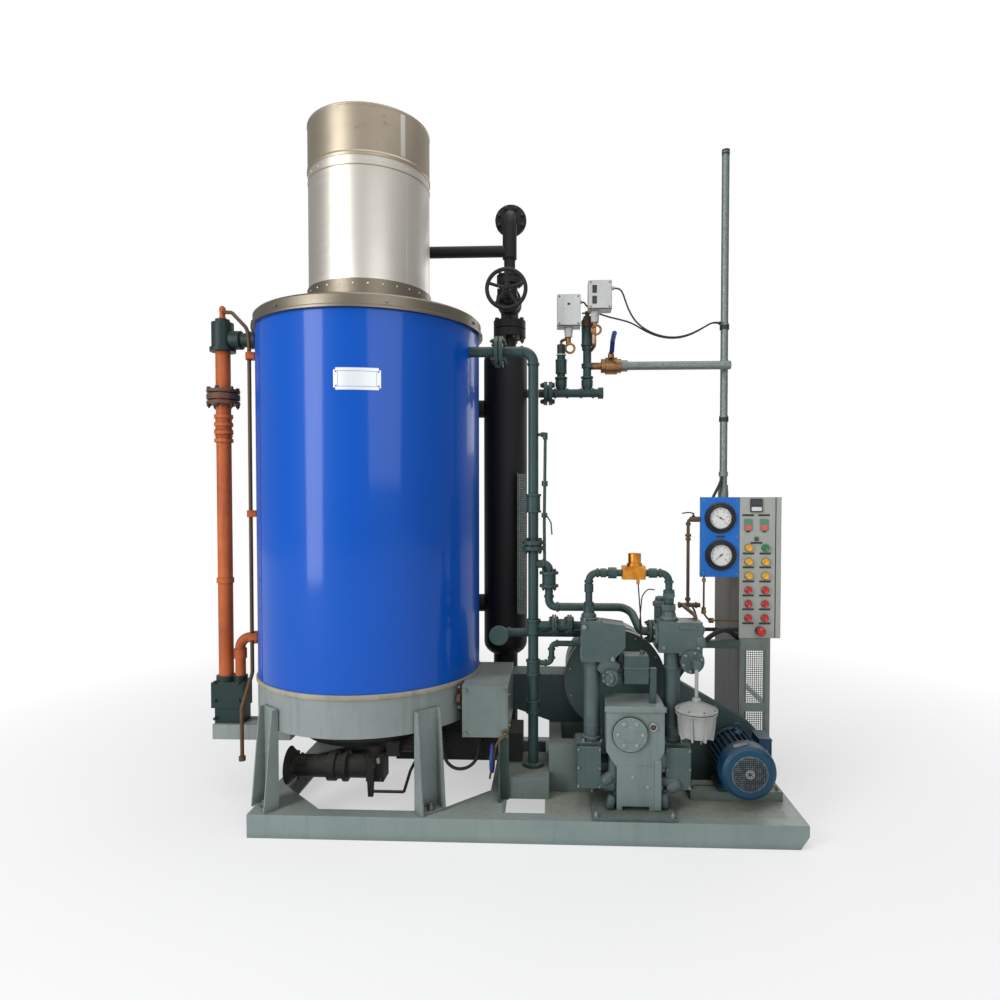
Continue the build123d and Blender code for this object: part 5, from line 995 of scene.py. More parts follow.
def label_strip(x, z, width=0.050, height=0.0085):
    """Adds one bare label strip with round ends and a fine raised border."""
    at = panel_flat @ Matrix.Translation((x, z, 0))
    prism(strips, rounded(width, height, height * 0.45), 0.0012, at)


for z, left_cap, right_cap in LAMP_ROWS:
    for x, cap in zip(LAMP_X, (left_cap, right_cap)):
        seat = facing((x, PANEL_Y, z), TO_OPERATOR)
        lathe(button_rings, [(0.0175, 0), (0.0175, 0.003), (0.0165, 0.0045), (0.0152, 0.0045),
                             (0.0150, 0.002), (0, 0.002)], seat, 40)
        shape = caps.setdefault(cap.name, (bmesh.new(), cap))[0]
        lathe(shape, [(0.0148, 0.002), (0.0148, 0.013), (0.0140, 0.0155), (0.0120, 0.0168), (0.0105, 0.0160),
                      (0, 0.0152)], seat, 40)
        label_strip(x, z - 0.0245)
for cap_name, (shape, cap) in caps.items():
    piece("caps_" + cap_name, shape, cap)
for x in (0.954, 1.022):
    label_strip(x, 1.228)
label_strip(0.990, 1.1085)
lathe(button_rings, [(0.0105, 0), (0.0105, 0.003), (0.0090, 0.004), (0.0085, 0.002), (0, 0.002)],
      facing((0.990, PANEL_Y, 1.126), TO_OPERATOR), 32)
pilot = bmesh.new()
lathe(pilot, [(0.0084, 0.002), (0.0084, 0.006), (0.006, 0.0088), (0, 0.0098)],
      facing((0.990, PANEL_Y, 1.126), TO_OPERATOR), 32)
piece("pilot_lens", pilot, dark_lens)
rings_piece = piece("button_rings", button_rings, grey_plastic)
piece("label_strips", strips, black_plastic)
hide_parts("panel_buttons")

stop_button, stop_neck = bmesh.new(), bmesh.new()
stop_seat = facing((1.006, PANEL_Y, 0.728), TO_OPERATOR)
lathe(stop_neck, [(0.0190, 0), (0.0190, 0.004), (0.0140, 0.006), (0.0125, 0.020), (0, 0.020)], stop_seat, 40)
lathe(stop_button, [(0.0120, 0.0195), (0.0185, 0.0215), (0.0200, 0.0260), (0.0200, 0.0330), (0.0180, 0.0375),
                    (0.0120, 0.0400), (0, 0.0408)], stop_seat, 48)
piece("stop_button_neck", stop_neck, black_plastic)
piece("stop_button_head", stop_button, lens_red)

rocker_frames, rocker_top, rocker_low, rocker_feet = (bmesh.new() for _ in range(4))
for x in (0.954, 1.022):
    at = panel_flat @ Matrix.Translation((x, 1.186, 0))
    prism(rocker_frames, rounded(0.034, 0.052, 0.003), 0.004, at)
    prism(rocker_top, rounded(0.026, 0.021, 0.002), 0.0045,
          at @ Matrix.Translation((0, 0.0115, 0.004)) @ Matrix.Rotation(radians(8), 4, "X"))
    prism(rocker_low, rounded(0.026, 0.021, 0.002), 0.0045,
          at @ Matrix.Translation((0, -0.0110, 0.004)) @ Matrix.Rotation(radians(-8), 4, "X"))
    prism(rocker_feet, rounded(0.016, 0.006, 0.002), 0.004, at @ Matrix.Translation((0, -0.0285, 0)))
piece("rocker_frames", rocker_frames, grey_plastic)
piece("rocker_upper_halves", rocker_top, rocker_green)
piece("rocker_lower_halves", rocker_low, rocker_red)
piece("rocker_latches", rocker_feet, black_plastic)

controller, screen, key_strip = bmesh.new(), bmesh.new(), bmesh.new()
at = panel_flat @ Matrix.Translation((0.988, 1.270, 0))
prism(controller, rounded(0.050, 0.058, 0.003), 0.008, at)
prism(screen, rounded(0.042, 0.016, 0.0015), 0.0006, at @ Matrix.Translation((0, 0.012, 0.008)))
prism(key_strip, rounded(0.042, 0.017, 0.0015), 0.0008, at @ Matrix.Translation((0, -0.015, 0.008)))
piece("controller_case", controller, black_plastic)
piece("controller_screen", screen,
      coloured_plastic("dark_display_window", "#2A3A40", 0.15, 0.8))
piece("controller_keys", key_strip, label_white)

plate_labels = bmesh.new()
prism(plate_labels, rounded(0.038, 0.009, 0.003), 0.0012,
      panel_flat @ Matrix.Translation((0.8365, 1.135, 0)))
piece("gauge_plate_label", plate_labels, black_plastic)
plate_screws = bmesh.new()
for x in (0.765, 0.906):
    for z in (0.975, 1.135, 1.292):
        lathe(plate_screws, [(0.004, 0), (0.0038, 0.0014), (0.002, 0.0022), (0, 0.0024)],
              facing((x, PANEL_Y, z), TO_OPERATOR), 14)
piece("gauge_plate_screws", plate_screws, zinc_plate)

# Door seal. A black rubber profile runs round the case's edge where the door
# closes on it, and shows as a dark line beside the button rows.
door_low, door_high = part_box("panel_door")
case_right = door_low[0] - 0.002
seal = bmesh.new()
seal_parts = (
    ((case_right - 0.0016, -0.0014, door_low[2] + 0.003),
     (0.0030, 0.006, door_high[2] - door_low[2] - 0.006)),
    ((case_right + 0.0003, 0.422, door_low[2] + 0.003), (0.0014, 0.006, door_high[2] - door_low[2] - 0.006)),
    ((case_right + 0.0003, 0.002, door_low[2] + 0.003), (0.0014, 0.426, 0.006)),
    ((case_right + 0.0003, 0.002, door_high[2] - 0.009), (0.0014, 0.426, 0.006)),
)
for (x, y, z), (wide, deep, tall) in seal_parts:
    prism(seal, [(x, y), (x + wide, y), (x + wide, y + deep), (x, y + deep)], tall, standing(0, 0, z))
piece("door_seal", seal, rubber_hose)

# Pump crankcase. A cast box with a machined cover on six socket screws, a
# dark oil sight glass beside it, a cap slab on top and a pedestal screwed on.
cover_x, cover_z = 0.406, 0.399
cover_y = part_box("pump_crankcase")[0][1]
front_wall = cover_y + 0.009
worn_castings = enamel("thin_grey_enamel_on_machined_casting", "#7C8B88", "#6D7C79", worn="#A9B1AC",
                       grime_and_shade="#33373A", dust=0.35,
                       wear=0.75, roughness=0.36, grain_mm=4.0, grain_depth=0.00012)
paint_node("pump_crankcase", worn_castings)
bright_screws = rolled_stainless("bright_zinc_socket_screws", "#C3C5C2", "#8E908D", "#4F4A42", 0.6, 0.3)
cover_mesh = bmesh.new()
cover_front = facing((cover_x, cover_y, cover_z), TO_OPERATOR)
lathe(cover_mesh, [(0.0660, -0.006), (0.0660, 0.0035), (0.0645, 0.0052), (0.0600, 0.0052), (0.0592, 0.0044),
                   (0.0300, 0.0044),
                   (0.0292, 0.0056), (0, 0.0058)], cover_front, 72)
piece("crankcase_cover", cover_mesh, worn_castings)
groove = bmesh.new()
lathe(groove, [(0.0685, -0.001), (0.0685, 0.0006), (0.0662, 0.0006), (0.0662, -0.001), (0.0685, -0.001)],
      cover_front, 72)
black_gasket_and_shadow = coloured_plastic("black_fibre_gasket_and_painted_shadow", "#131415", 0.7, 0.0)
piece("crankcase_cover_gasket", groove, black_gasket_and_shadow)


def socket_screw(shape, centre, axis, head):
    """Adds a cylinder head screw with a hexagon socket."""
    place = facing(centre, axis)
    lathe(shape, [(head * 0.72, 0), (head * 0.72, head * 0.10), (head / 2, head * 0.12),
                  (head / 2, head * 0.60), (head * 0.44, head * 0.68),
                  (head * 0.26, head * 0.68), (head * 0.24, head * 0.32), (0, head * 0.30)], place, 20)


front_screws = bmesh.new()
for a in turns(6):
    socket_screw(front_screws, (cover_x + 0.047 * cos(a), cover_y - 0.0048, cover_z + 0.047 * sin(a)),
                 TO_OPERATOR, 0.0105)
for x, z in ((0.418, 0.232), (0.474, 0.194)):
    socket_screw(front_screws, (x, front_wall, z), TO_OPERATOR, 0.0095)
piece("crankcase_screws", front_screws, bright_screws)
sight_ring, sight_eye = bmesh.new(), bmesh.new()
sight_front = facing((0.494, front_wall, 0.428), TO_OPERATOR)
lathe(sight_ring, [(0.0165, 0), (0.0165, 0.006), (0.0150, 0.0080), (0.0118, 0.0080), (0.0112, 0.0045),
                   (0.0112, 0)], sight_front, 36)
lathe(sight_eye, [(0.0112, 0.003), (0.0080, 0.0050), (0, 0.0056)], sight_front, 32)
piece("sight_glass_ring", sight_ring, bright_screws)
piece("sight_glass", sight_eye,
      coloured_plastic("dark_oil_behind_glass", "#170A10", 0.08, 1.0))

crank_parts = bmesh.new()


def box(shape, low, high, bevel=0.002):
    """Adds a block with small chamfers between two corners."""
    x0, y0, z0 = low
    x1, y1, z1 = high
    outline = [(x0 + bevel, y0), (x1 - bevel, y0), (x1, y0 + bevel), (x1, y1 - bevel), (x1 - bevel, y1),
               (x0 + bevel, y1),
               (x0, y1 - bevel), (x0, y0 + bevel)]
    middle = ((x0 + x1) / 2, (y0 + y1) / 2)
    levels = ((z0, bevel), (z0 + bevel, 0.0), (z1 - bevel, 0.0), (z1, bevel))
    rings = []
    for z, inset in levels:
        shrink_x = 1 - inset / max(abs(x1 - x0) / 2, 1e-6)
        shrink_y = 1 - inset / max(abs(y1 - y0) / 2, 1e-6)
        rings.append([shape.verts.new((middle[0] + (x - middle[0]) * shrink_x,
                                       middle[1] + (y - middle[1]) * shrink_y, z)) for x, y in outline])
    for a, b in zip(rings, rings[1:]):
        for i in range(8):
            j = (i + 1) % 8
            shape.faces.new((a[i], a[j], b[j], b[i]))
    shape.faces.new(list(reversed(rings[0])))
    shape.faces.new(rings[-1])


box(crank_parts, (0.3095, front_wall - 0.007, 0.483), (0.5455, front_wall + 0.006, 0.505), 0.003)
box(crank_parts, (0.500, front_wall - 0.006, 0.104), (0.527, front_wall + 0.10, 0.300), 0.003)
box(crank_parts, (0.352, front_wall - 0.0012, 0.2745), (0.500, front_wall + 0.002, 0.2775), 0.0005)
for x0, x1, z in ((0.331, 0.349, 0.292), (0.528, 0.552, 0.268)):
    box(crank_parts, (x0, front_wall + 0.03, z - 0.03), (x1, front_wall + 0.09, z + 0.01), 0.005)
piece("crankcase_lips", crank_parts, worn_castings)

# Ribs and clamp arms. Cast brackets join the pedestal to the two valve chests,
# rough from the sand mould under thick enamel.
sand_cast = enamel("thick_enamel_on_sand_casting", "#536461", "#3B4D4E", worn="#93A09C", grime_and_shade="#24282A",
                   dust=0.4, wear=0.8,
                   roughness=0.40, grain_mm=7.0, grain_depth=0.0005)
arms = bmesh.new()


def lump(shape, centre, size, twist=0.0, bulge=0.35, steps=7):
    """Adds a rounded cast boss: a cube pulled part of the way to a ball."""
    start = len(shape.verts)
    made = bmesh.ops.create_cube(shape, size=1.0)
    edges = {edge for vert in made["verts"] for edge in vert.link_edges}
    bmesh.ops.subdivide_edges(shape, edges=list(edges), cuts=steps, use_grid_fill=True)
    shape.verts.ensure_lookup_table()
    turn = Matrix.Rotation(twist, 3, "Y")
    for vert in shape.verts[start:]:
        ball = vert.co.normalized() * 0.62
        spot = vert.co.lerp(ball, bulge)
        spot = Vector((spot.x * size[0], spot.y * size[1], spot.z * size[2]))
        vert.co = turn @ spot + Vector(centre)


lump(arms, (0.327, -0.330, 0.195), (0.080, 0.070, 0.050), 0.25, 0.6)
lump(arms, (0.322, -0.352, 0.215), (0.050, 0.050, 0.036), -0.5, 0.8)
lump(arms, (0.345, -0.340, 0.250), (0.034, 0.060, 0.120), 0.05, 0.5)
lump(arms, (0.560, -0.330, 0.205), (0.090, 0.060, 0.036), 0.05, 0.6)
lump(arms, (0.577, -0.345, 0.188), (0.060, 0.052, 0.036), -0.3, 0.8)
lump(arms, (0.530, -0.352, 0.292), (0.034, 0.050, 0.060), 0.0, 0.6)
lump(arms, (0.335, -0.362, 0.128), (0.030, 0.040, 0.050), 0.2, 0.6)
lump(arms, (0.540, -0.355, 0.135), (0.032, 0.040, 0.056), -0.1, 0.6)
piece("cast_arms", arms, sand_cast, 60.0)

# Valve chests and their covers. Cover plates on studs close the outer sides of
# both chests; nuts hold the chests, columns and base plate down.
paint_node("pump_columns", sand_cast)
paint_node("pump_heads", sand_cast)
paint_node("head_side_cover", sand_cast)
CHEST_FACE_Y = -0.3545
chest_plates = bmesh.new()
box(chest_plates, (0.2015, -0.345, 0.172), (0.2055, -0.215, 0.340), 0.001)
box(chest_plates, (0.206, CHEST_FACE_Y, 0.174), (0.299, -0.3495, 0.338), 0.002)
box(chest_plates, (0.546, CHEST_FACE_Y, 0.174), (0.644, -0.3495, 0.338), 0.002)
piece("chest_covers", chest_plates, cast_green)
nuts = bmesh.new()
for x in (0.2115, 0.2935, 0.5515, 0.6385):
    for z in (0.184, 0.256, 0.328):
        hex_bolt(nuts, (x, CHEST_FACE_Y, z), TO_OPERATOR, 0.0095, stud=0.004)
BASE_PLATE_Z, CHEST_STUD_Y = 0.103, -0.318
for x in (0.275, 0.562):
    for y in (-0.432, -0.214):
        hex_bolt(nuts, (x, y, BASE_PLATE_Z), UP, 0.014, stud=0.006)
for x in (0.232, 0.302, 0.550, 0.614):
    hex_bolt(nuts, (x, CHEST_STUD_Y, 0.346), UP, 0.010, stud=0.004)
piece("chest_nuts", nuts, worn_castings)
column_rings = bmesh.new()
for x in (0.267, 0.582):
    for low, high, radius in ((0.346, 0.362, 0.039), (0.404, 0.410, 0.0335), (0.628, 0.644, 0.0345)):
        lathe(column_rings, [(radius - 0.01, low), (radius, low + 0.002), (radius, high - 0.003),
                             (radius - 0.004, high), (radius - 0.01, high)],
              standing(x, HEAD_Y), 40)
piece("column_collars", column_rings, sand_cast)

# Pump heads. Cast heads with bolted flanges for the pipes, gland nuts and
# union nuts, a turned valve cap that looks to the left front, and a small
# drain cock; the right head carries a thick neck behind its pipe.
HEAD_FACE_Y = -0.332
head_parts, head_nuts = bmesh.new(), bmesh.new()
cap_place = facing((0.352, -0.330, 0.600), (-0.62, -0.72, 0.18))
lathe(head_parts, [(0.024, -0.030), (0.024, 0.012), (0.031, 0.014), (0.031, 0.028), (0.026, 0.030),
                   (0.026, 0.044), (0.019, 0.047),
                   (0.017, 0.040), (0, 0.040)], cap_place, 40)
for a in turns(6):
    spot = cap_place @ Vector((0.0225 * cos(a), 0.0225 * sin(a), 0.045))
    hex_bolt(head_nuts, spot, cap_place.to_3x3() @ Vector(UP), 0.0065)
lump(head_parts, (0.330, -0.296, 0.640), (0.080, 0.070, 0.070), 0.5, 0.5)
lump(head_parts, (0.420, -0.270, 0.655), (0.110, 0.060, 0.060), 0.1, 0.5)
for x, z in ((0.344, 0.676), (0.234, 0.800)):
    hex_bolt(head_nuts, (x, HEAD_FACE_Y, z), TO_OPERATOR, 0.016)
for x in (0.236, 0.296):
    hex_bolt(head_nuts, (x, CHEST_STUD_Y, 0.820), UP, 0.011, stud=0.004)
lathe(head_parts, [(0.034, 0.816), (0.034, 0.828), (0.028, 0.832), (0.024, 0.848), (0.020, 0.850)],
      standing(LEFT_HEAD_X, HEAD_Y), 36)
right_face = facing((0.522, HEAD_Y, 0.762), LEFT)
lathe(head_parts, [(0.046, -0.004), (0.046, 0.010), (0.043, 0.012), (0.020, 0.012)], right_face, 48)
lathe(head_parts, [(0.036, 0.816), (0.036, 0.830), (0.030, 0.834), (0.024, 0.856), (0.020, 0.858)],
      standing(RIGHT_HEAD_X, HEAD_Y), 36)
prism(head_parts, ring_outline(0.030, 6, 0.3), 0.022, standing(RIGHT_HEAD_X, HEAD_Y, 0.860))
prism(head_parts, ring_outline(0.024, 6, 0.1), 0.018, standing(RIGHT_HEAD_X, HEAD_Y, 0.910))
prism(head_parts, ring_outline(0.023, 6, 0.2), 0.018, standing(LEFT_HEAD_X, HEAD_Y, 0.858))
NECK_X, NECK_Y = 0.548, -0.205
lathe(head_parts, [(0.026, 0.780), (0.026, 0.862), (0.032, 0.866), (0.032, 0.882), (0.022, 0.886),
                   (0.022, 0.900), (0.016, 0.904), (0, 0.904)],
      standing(NECK_X, NECK_Y), 32)
for a in turns(4, pi / 4):
    hex_bolt(head_nuts, (NECK_X + 0.025 * cos(a), NECK_Y + 0.025 * sin(a), 0.882), UP, 0.008)
    hex_bolt(head_nuts, (RIGHT_HEAD_X + 0.030 * cos(a), HEAD_Y + 0.030 * sin(a), 0.830), UP, 0.009,
             stud=0.004)
for a in turns(6):
    hex_bolt(head_nuts, (0.512, HEAD_Y + 0.036 * cos(a), 0.762 + 0.036 * sin(a)), LEFT, 0.010)
for x in (0.540, 0.672):
    hex_bolt(head_nuts, (x, HEAD_FACE_Y, 0.722), TO_OPERATOR, 0.011)
lump(head_parts, (0.676, -0.300, 0.780), (0.044, 0.052, 0.056), 0.4, 0.6)
lump(head_parts, (0.684, -0.318, 0.742), (0.036, 0.040, 0.044), -0.2, 0.7)
box(head_parts, (0.600, -0.336, 0.792), (0.668, -0.331, 0.806), 0.001)
piece("head_fittings", head_parts, sand_cast)
piece("head_nuts", head_nuts, worn_castings)

cover_ring, cover_bolts = bmesh.new(), bmesh.new()
SIDE_X, SIDE_Y, SIDE_Z = 0.650, -0.338, 0.668
side_face = facing((SIDE_X, SIDE_Y, SIDE_Z), TO_OPERATOR)
lathe(cover_ring, [(0.0475, -0.0095), (0.0475, -0.0050), (0.0455, -0.0050)], side_face, 48)
piece("side_cover_gasket", cover_ring, black_gasket_and_shadow)
for a in turns(6, 0.3):
    hex_bolt(cover_bolts, (SIDE_X + 0.036 * cos(a), SIDE_Y, SIDE_Z + 0.036 * sin(a)), TO_OPERATOR, 0.0095)
piece("side_cover_bolts", cover_bolts, worn_castings)

# Oil pump box. It has a screwed cover with a filler neck, and thin lubrication
# lines run from it up to the pipework.
oil_parts = bmesh.new()
box(oil_parts, (0.386, -0.348, 0.640), (0.4835, -0.262, 0.646), 0.001)
box(oil_parts, (0.4815, -0.330, 0.604), (0.4865, -0.275, 0.676), 0.001)
lathe(oil_parts, [(0.010, 0.676), (0.010, 0.700), (0.007, 0.704), (0, 0.704)], standing(0.462, -0.300), 24)
piece("oil_box_cover", oil_parts, cast_green)
oil_line, oil_tip = bmesh.new(), bmesh.new()
bent_tube(oil_line, [(0.462, -0.300, 0.700), (0.458, -0.296, 0.800), (0.446, -0.288, 0.975)], 0.0026, 10,
          0.02)
bent_tube(oil_line, [(0.466, -0.300, 0.702), (0.452, -0.292, 0.800), (0.462, -0.286, 0.918),
                     (0.486, -0.284, 0.944), (0.512, -0.283, 0.940)], 0.0024, 10, 0.02)
piece("oil_lines", oil_line, heat_black)
lathe(oil_tip, [(0.0052, 0.962), (0.0062, 0.966), (0.0062, 0.980), (0.004, 0.986), (0, 0.986)],
      standing(0.446, -0.288), 20)
piece("oil_line_fitting", oil_tip, bright_brass)

# Diaphragm actuator. A silver die-cast bowl and ribbed lid, clamped on a dark
# diaphragm by screws round the rim, on a bright rod under the side cover.
ACT_X, ACT_Y = 0.660, -0.366
actuator_mesh, actuator_screws, actuator_seal = bmesh.new(), bmesh.new(), bmesh.new()
upright = standing(ACT_X, ACT_Y)
lathe(actuator_mesh, [(0.0785, 0.4885), (0.0800, 0.4905), (0.0800, 0.4965), (0.0775, 0.4985),
                      (0.0690, 0.5000)], upright, 72)
lathe(actuator_mesh, [(0.0700, 0.4795), (0.0795, 0.4805), (0.0800, 0.4825), (0.0800, 0.4865),
                      (0.0785, 0.4880)], upright, 72)
lathe(actuator_seal, [(0.0786, 0.4875), (0.0810, 0.4878), (0.0810, 0.4892), (0.0786, 0.4896)], upright, 72)
for a in turns(8, 0.2):
    dx, dy = cos(a), sin(a)
    hex_bolt(actuator_screws, (ACT_X + 0.073 * dx, ACT_Y + 0.073 * dy, 0.4978), UP, 0.0075)
    side = Vector((-dy, dx, 0))
    a0 = Vector((ACT_X + 0.012 * dx, ACT_Y + 0.012 * dy, 0.522))
    a1 = Vector((ACT_X + 0.066 * dx, ACT_Y + 0.066 * dy, 0.4995))
    rib = [a0 - side * 0.003, a1 - side * 0.003, a1 + side * 0.003, a0 + side * 0.003]
    low_ring = [actuator_mesh.verts.new(p - Vector((0, 0, 0.012))) for p in rib]
    top_ring = [actuator_mesh.verts.new(p + Vector((0, 0, 0.003))) for p in rib]
    actuator_mesh.faces.new(top_ring)
    for i in range(4):
        j = (i + 1) % 4
        actuator_mesh.faces.new((low_ring[i], low_ring[j], top_ring[j], top_ring[i]))
lathe(actuator_mesh, [(0.017, 0.515), (0.017, 0.534), (0.012, 0.538), (0.008, 0.538)], upright, 32)
lathe(actuator_screws, [(0.0035, 0.373), (0.0035, 0.390), (0.0, 0.390)],
      standing(ACT_X + 0.010, ACT_Y - 0.04), 12)
hex_bolt(actuator_screws, (ACT_X, ACT_Y - 0.010, 0.392), (0, 0, -1), 0.012)
piece("actuator_rims", actuator_mesh, silver_case)
piece("actuator_screws", actuator_screws, zinc_plate)
piece("actuator_diaphragm", actuator_seal, black_gasket_and_shadow)

# Motor fittings. A wire grille in the fan cover, a bare bright plate, a lifting
# eye, the terminal box lid on four screws, and feet bolted to the rails.
MOTOR_X, MOTOR_Z = 0.869, 0.239
FAN_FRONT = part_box("motor_fan_cover")[0][1]
GRILLE_RADIUS = 0.066
motor_front = facing((MOTOR_X, FAN_FRONT, MOTOR_Z), TO_OPERATOR)
grille_shadow_disc, grille_wires, grille_hub = bmesh.new(), bmesh.new(), bmesh.new()
# Painted shadow: a black disc behind the wires stands for the shade inside the fan cover.
lathe(grille_shadow_disc, [(GRILLE_RADIUS, 0.0002), (GRILLE_RADIUS, 0.0008), (0, 0.0008)], motor_front, 56)
lathe(grille_wires, [(GRILLE_RADIUS, 0.0), (GRILLE_RADIUS + 0.004, 0.0), (GRILLE_RADIUS + 0.003, 0.0022),
                     (GRILLE_RADIUS, 0.0022),
                     (GRILLE_RADIUS, 0.0)], motor_front, 56)
WIRE_PITCH = 0.0078
WIRE_HALF, WIRE_THICK = 0.0006, 0.0018
count = int(GRILLE_RADIUS / WIRE_PITCH)
flat_front = fronting(MOTOR_X, FAN_FRONT, MOTOR_Z)
for step in range(-count, count + 1):
    offset = step * WIRE_PITCH
    reach = sqrt(GRILLE_RADIUS ** 2 - offset ** 2)
    low, high = offset - WIRE_HALF, offset + WIRE_HALF
    prism(grille_wires, [(low, -reach), (high, -reach), (high, reach), (low, reach)], WIRE_THICK, flat_front)
    prism(grille_wires, [(-reach, low), (reach, low), (reach, high), (-reach, high)], WIRE_THICK, flat_front)
lathe(grille_hub, [(0.0170, 0.0016), (0.0170, 0.0032), (0.0138, 0.0036), (0.0135, 0.0016), (0.0170, 0.0016)],
      motor_front, 32)
for a in turns(6):
    prism(grille_hub, ring_outline(0.0030, 8, 0, 0.0095 * cos(a), 0.0095 * sin(a)), 0.0034, flat_front)
piece("fan_inside_shadow", grille_shadow_disc, black_gasket_and_shadow)
wire_steel = enamel("chipped_blue_wire_grille", "#5C6E78", "#3C5464", worn="#A6ACAE", wear=0.8,
                    roughness=0.4, dust=0.3, grime_amount=0.3)
piece("fan_grille_wires", grille_wires, wire_steel)
piece("fan_grille_hub", grille_hub, bright_screws)


def coil_ring(shape, centre, radius, tube, segments=36):
    """Adds one closed turn of tube that stands upright and faces the operator."""
    rows = []
    for a in turns(segments):
        row = []
        for b in turns(12):
            reach = radius + tube * cos(b)
            flat = (reach * cos(a), tube * sin(b), reach * sin(a))
            row.append(shape.verts.new(Vector(centre) + Vector(flat)))
        rows.append(row)
    for i in range(segments):
        for j in range(12):
            k, m = (i + 1) % segments, (j + 1) % 12
            shape.faces.new((rows[i][j], rows[k][j], rows[k][m], rows[i][m]))


EYE_Y = -0.170
motor_parts, motor_plate, motor_bolts = bmesh.new(), bmesh.new(), bmesh.new()
bare_plate_place = facing((MOTOR_X - 0.030, FAN_FRONT + 0.030, MOTOR_Z + 0.1042), (-0.28, 0.0, 0.96))
prism(motor_plate, rounded(0.055, 0.026, 0.004), 0.0016, bare_plate_place)
piece("motor_bare_plate", motor_plate, bright_screws)
coil_ring(motor_parts, (MOTOR_X, EYE_Y, MOTOR_Z + 0.124), 0.013, 0.0042, 28)
lathe(motor_parts, [(0.016, 0.100), (0.013, 0.106), (0.006, 0.110), (0, 0.110)],
      standing(MOTOR_X, EYE_Y, MOTOR_Z), 24)
piece("motor_lifting_eye", motor_parts, motor_blue)
box_lid = bmesh.new()
box(box_lid, (0.9845, -0.2345, 0.243), (0.9885, -0.1295, 0.337), 0.001)
box(box_lid, (0.937, -0.2345, 0.333), (0.9865, -0.1295, 0.3375), 0.001)
piece("terminal_box_lid", box_lid, motor_blue)
for y in (-0.226, -0.138):
    for z in (0.252, 0.328):
        socket_screw(motor_bolts, (0.9885, y, z), RIGHT, 0.006)
for a in turns(4, pi / 4):
    socket_screw(motor_bolts, (MOTOR_X + 0.1075 * cos(a), FAN_FRONT + 0.045, MOTOR_Z + 0.1075 * sin(a)),
                 (cos(a), 0, sin(a)), 0.006)
MOTOR_FOOT_Z = 0.1275
for x, stud in ((0.790, 0.006), (0.948, 0.006), (0.680, 0.005), (1.014, 0.005)):
    for y in (-0.222, -0.162):
        hex_bolt(motor_bolts, (x, y, MOTOR_FOOT_Z), UP, 0.012, stud=stud)
piece("motor_screws", motor_bolts, zinc_plate)

# Sheet side of the panel case in brown-grey, painted shade for its shaded flank, a
# grey-green arm that ties the stand to it, and the pump's drain pipes.
case_low, case_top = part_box("panel_case")
# Painted shade: the case's left side is coloured dark brown-grey as if in shadow.
case_side_painted_shade = enamel("brown_grey_painted_shade_on_case_side", "#6B655D", "#59534C", worn="#8B867C", dust=0.2,
                    wear=0.3, roughness=0.55,
                    grain_mm=1.6, grime_amount=0.5)
CASE_BOTTOM = 0.696
case_side = bmesh.new()
prism(case_side, [(0.001, CASE_BOTTOM), (0.429, CASE_BOTTOM), (0.429, case_top[2] - 0.001),
                  (0.001, case_top[2] - 0.001)],
      0.0012, siding(case_low[0] - 0.0014))
piece("case_side_shade_sheet", case_side, case_side_painted_shade)
arm = bmesh.new()
box(arm, (0.690, -0.012, 0.652), (0.9195, -0.006, 0.684), 0.001)
box(arm, (0.690, -0.012, 0.681), (0.9195, 0.020, 0.685), 0.001)
piece("stand_tie_arm", arm, machine_green)
arm_pipe = bmesh.new()
bent_tube(arm_pipe, [(0.690, 0.020, 0.728), (0.919, 0.020, 0.728)], 0.0085, 16)
bent_tube(arm_pipe, [(0.612, -0.090, 0.500), (0.650, -0.060, 0.545), (0.712, -0.040, 0.625),
                     (0.786, -0.028, 0.706), (0.840, -0.020, 0.735), (0.880, 0.006, 0.725),
                     (0.922, 0.030, 0.688)], 0.0105, 16, 0.05, 8)
piece("pump_drain_pipes", arm_pipe, heat_black)

# Gauge line fittings. A small cock with a black lever at the first gauge,
# unions on the line, and a second thin tube with brass ends at the other gauge.
cock_lever, line_bands, second_tube, tube_ends = (bmesh.new() for _ in range(4))
lathe(cock_lever, [(0.007, 0.0), (0.007, 0.012), (0.004, 0.014), (0.0035, 0.022), (0, 0.022)],
      facing((0.722, 0.008, 1.214), UP), 20)
bent_tube(cock_lever, [(0.722, 0.008, 1.236), (0.700, 0.004, 1.240), (0.672, 0.000, 1.236)], 0.0028, 10,
          0.006)
piece("gauge_cock_lever", cock_lever, heat_black)
LINE_Y = 0.008
for z, grow in ((1.190, 0.003), (1.140, 0.005), (1.124, 0.0035), (0.862, 0.004)):
    band(line_bands, (0.700, LINE_Y, z), UP, 0.0078, 0.012, grow)
for x in (0.712, 0.746):
    band(line_bands, (x, LINE_Y, 1.210), RIGHT, 0.0085, 0.010, 0.003)
for x in (0.664, 0.700, 0.736):
    band(line_bands, (x, LINE_Y, 0.836), RIGHT, 0.0105, 0.008, 0.003)
piece("gauge_line_unions", line_bands, tube_brown)
bent_tube(second_tube, [(0.772, 0.004, 1.000), (0.768, 0.004, 0.958), (0.768, 0.004, 0.800),
                        (0.792, 0.004, 0.770), (0.918, 0.010, 0.770)], 0.0042, 12, 0.01)
bent_tube(second_tube, [(0.716, 0.004, 0.836), (0.728, -0.004, 0.812), (0.738, -0.008, 0.770)], 0.0045, 12,
          0.01)
piece("second_gauge_tube", second_tube, tube_brown)
for z, grow in ((0.946, 0.004), (0.820, 0.005), (0.806, 0.0065)):
    band(tube_ends, (0.768, 0.004, z), UP, 0.0042, 0.014, grow)
band(tube_ends, (0.800, 0.004, 0.770), RIGHT, 0.0042, 0.020, 0.007)
band(tube_ends, (0.738, -0.008, 0.766), UP, 0.0045, 0.016, 0.006)
piece("second_tube_fittings", tube_ends, brown_brass)

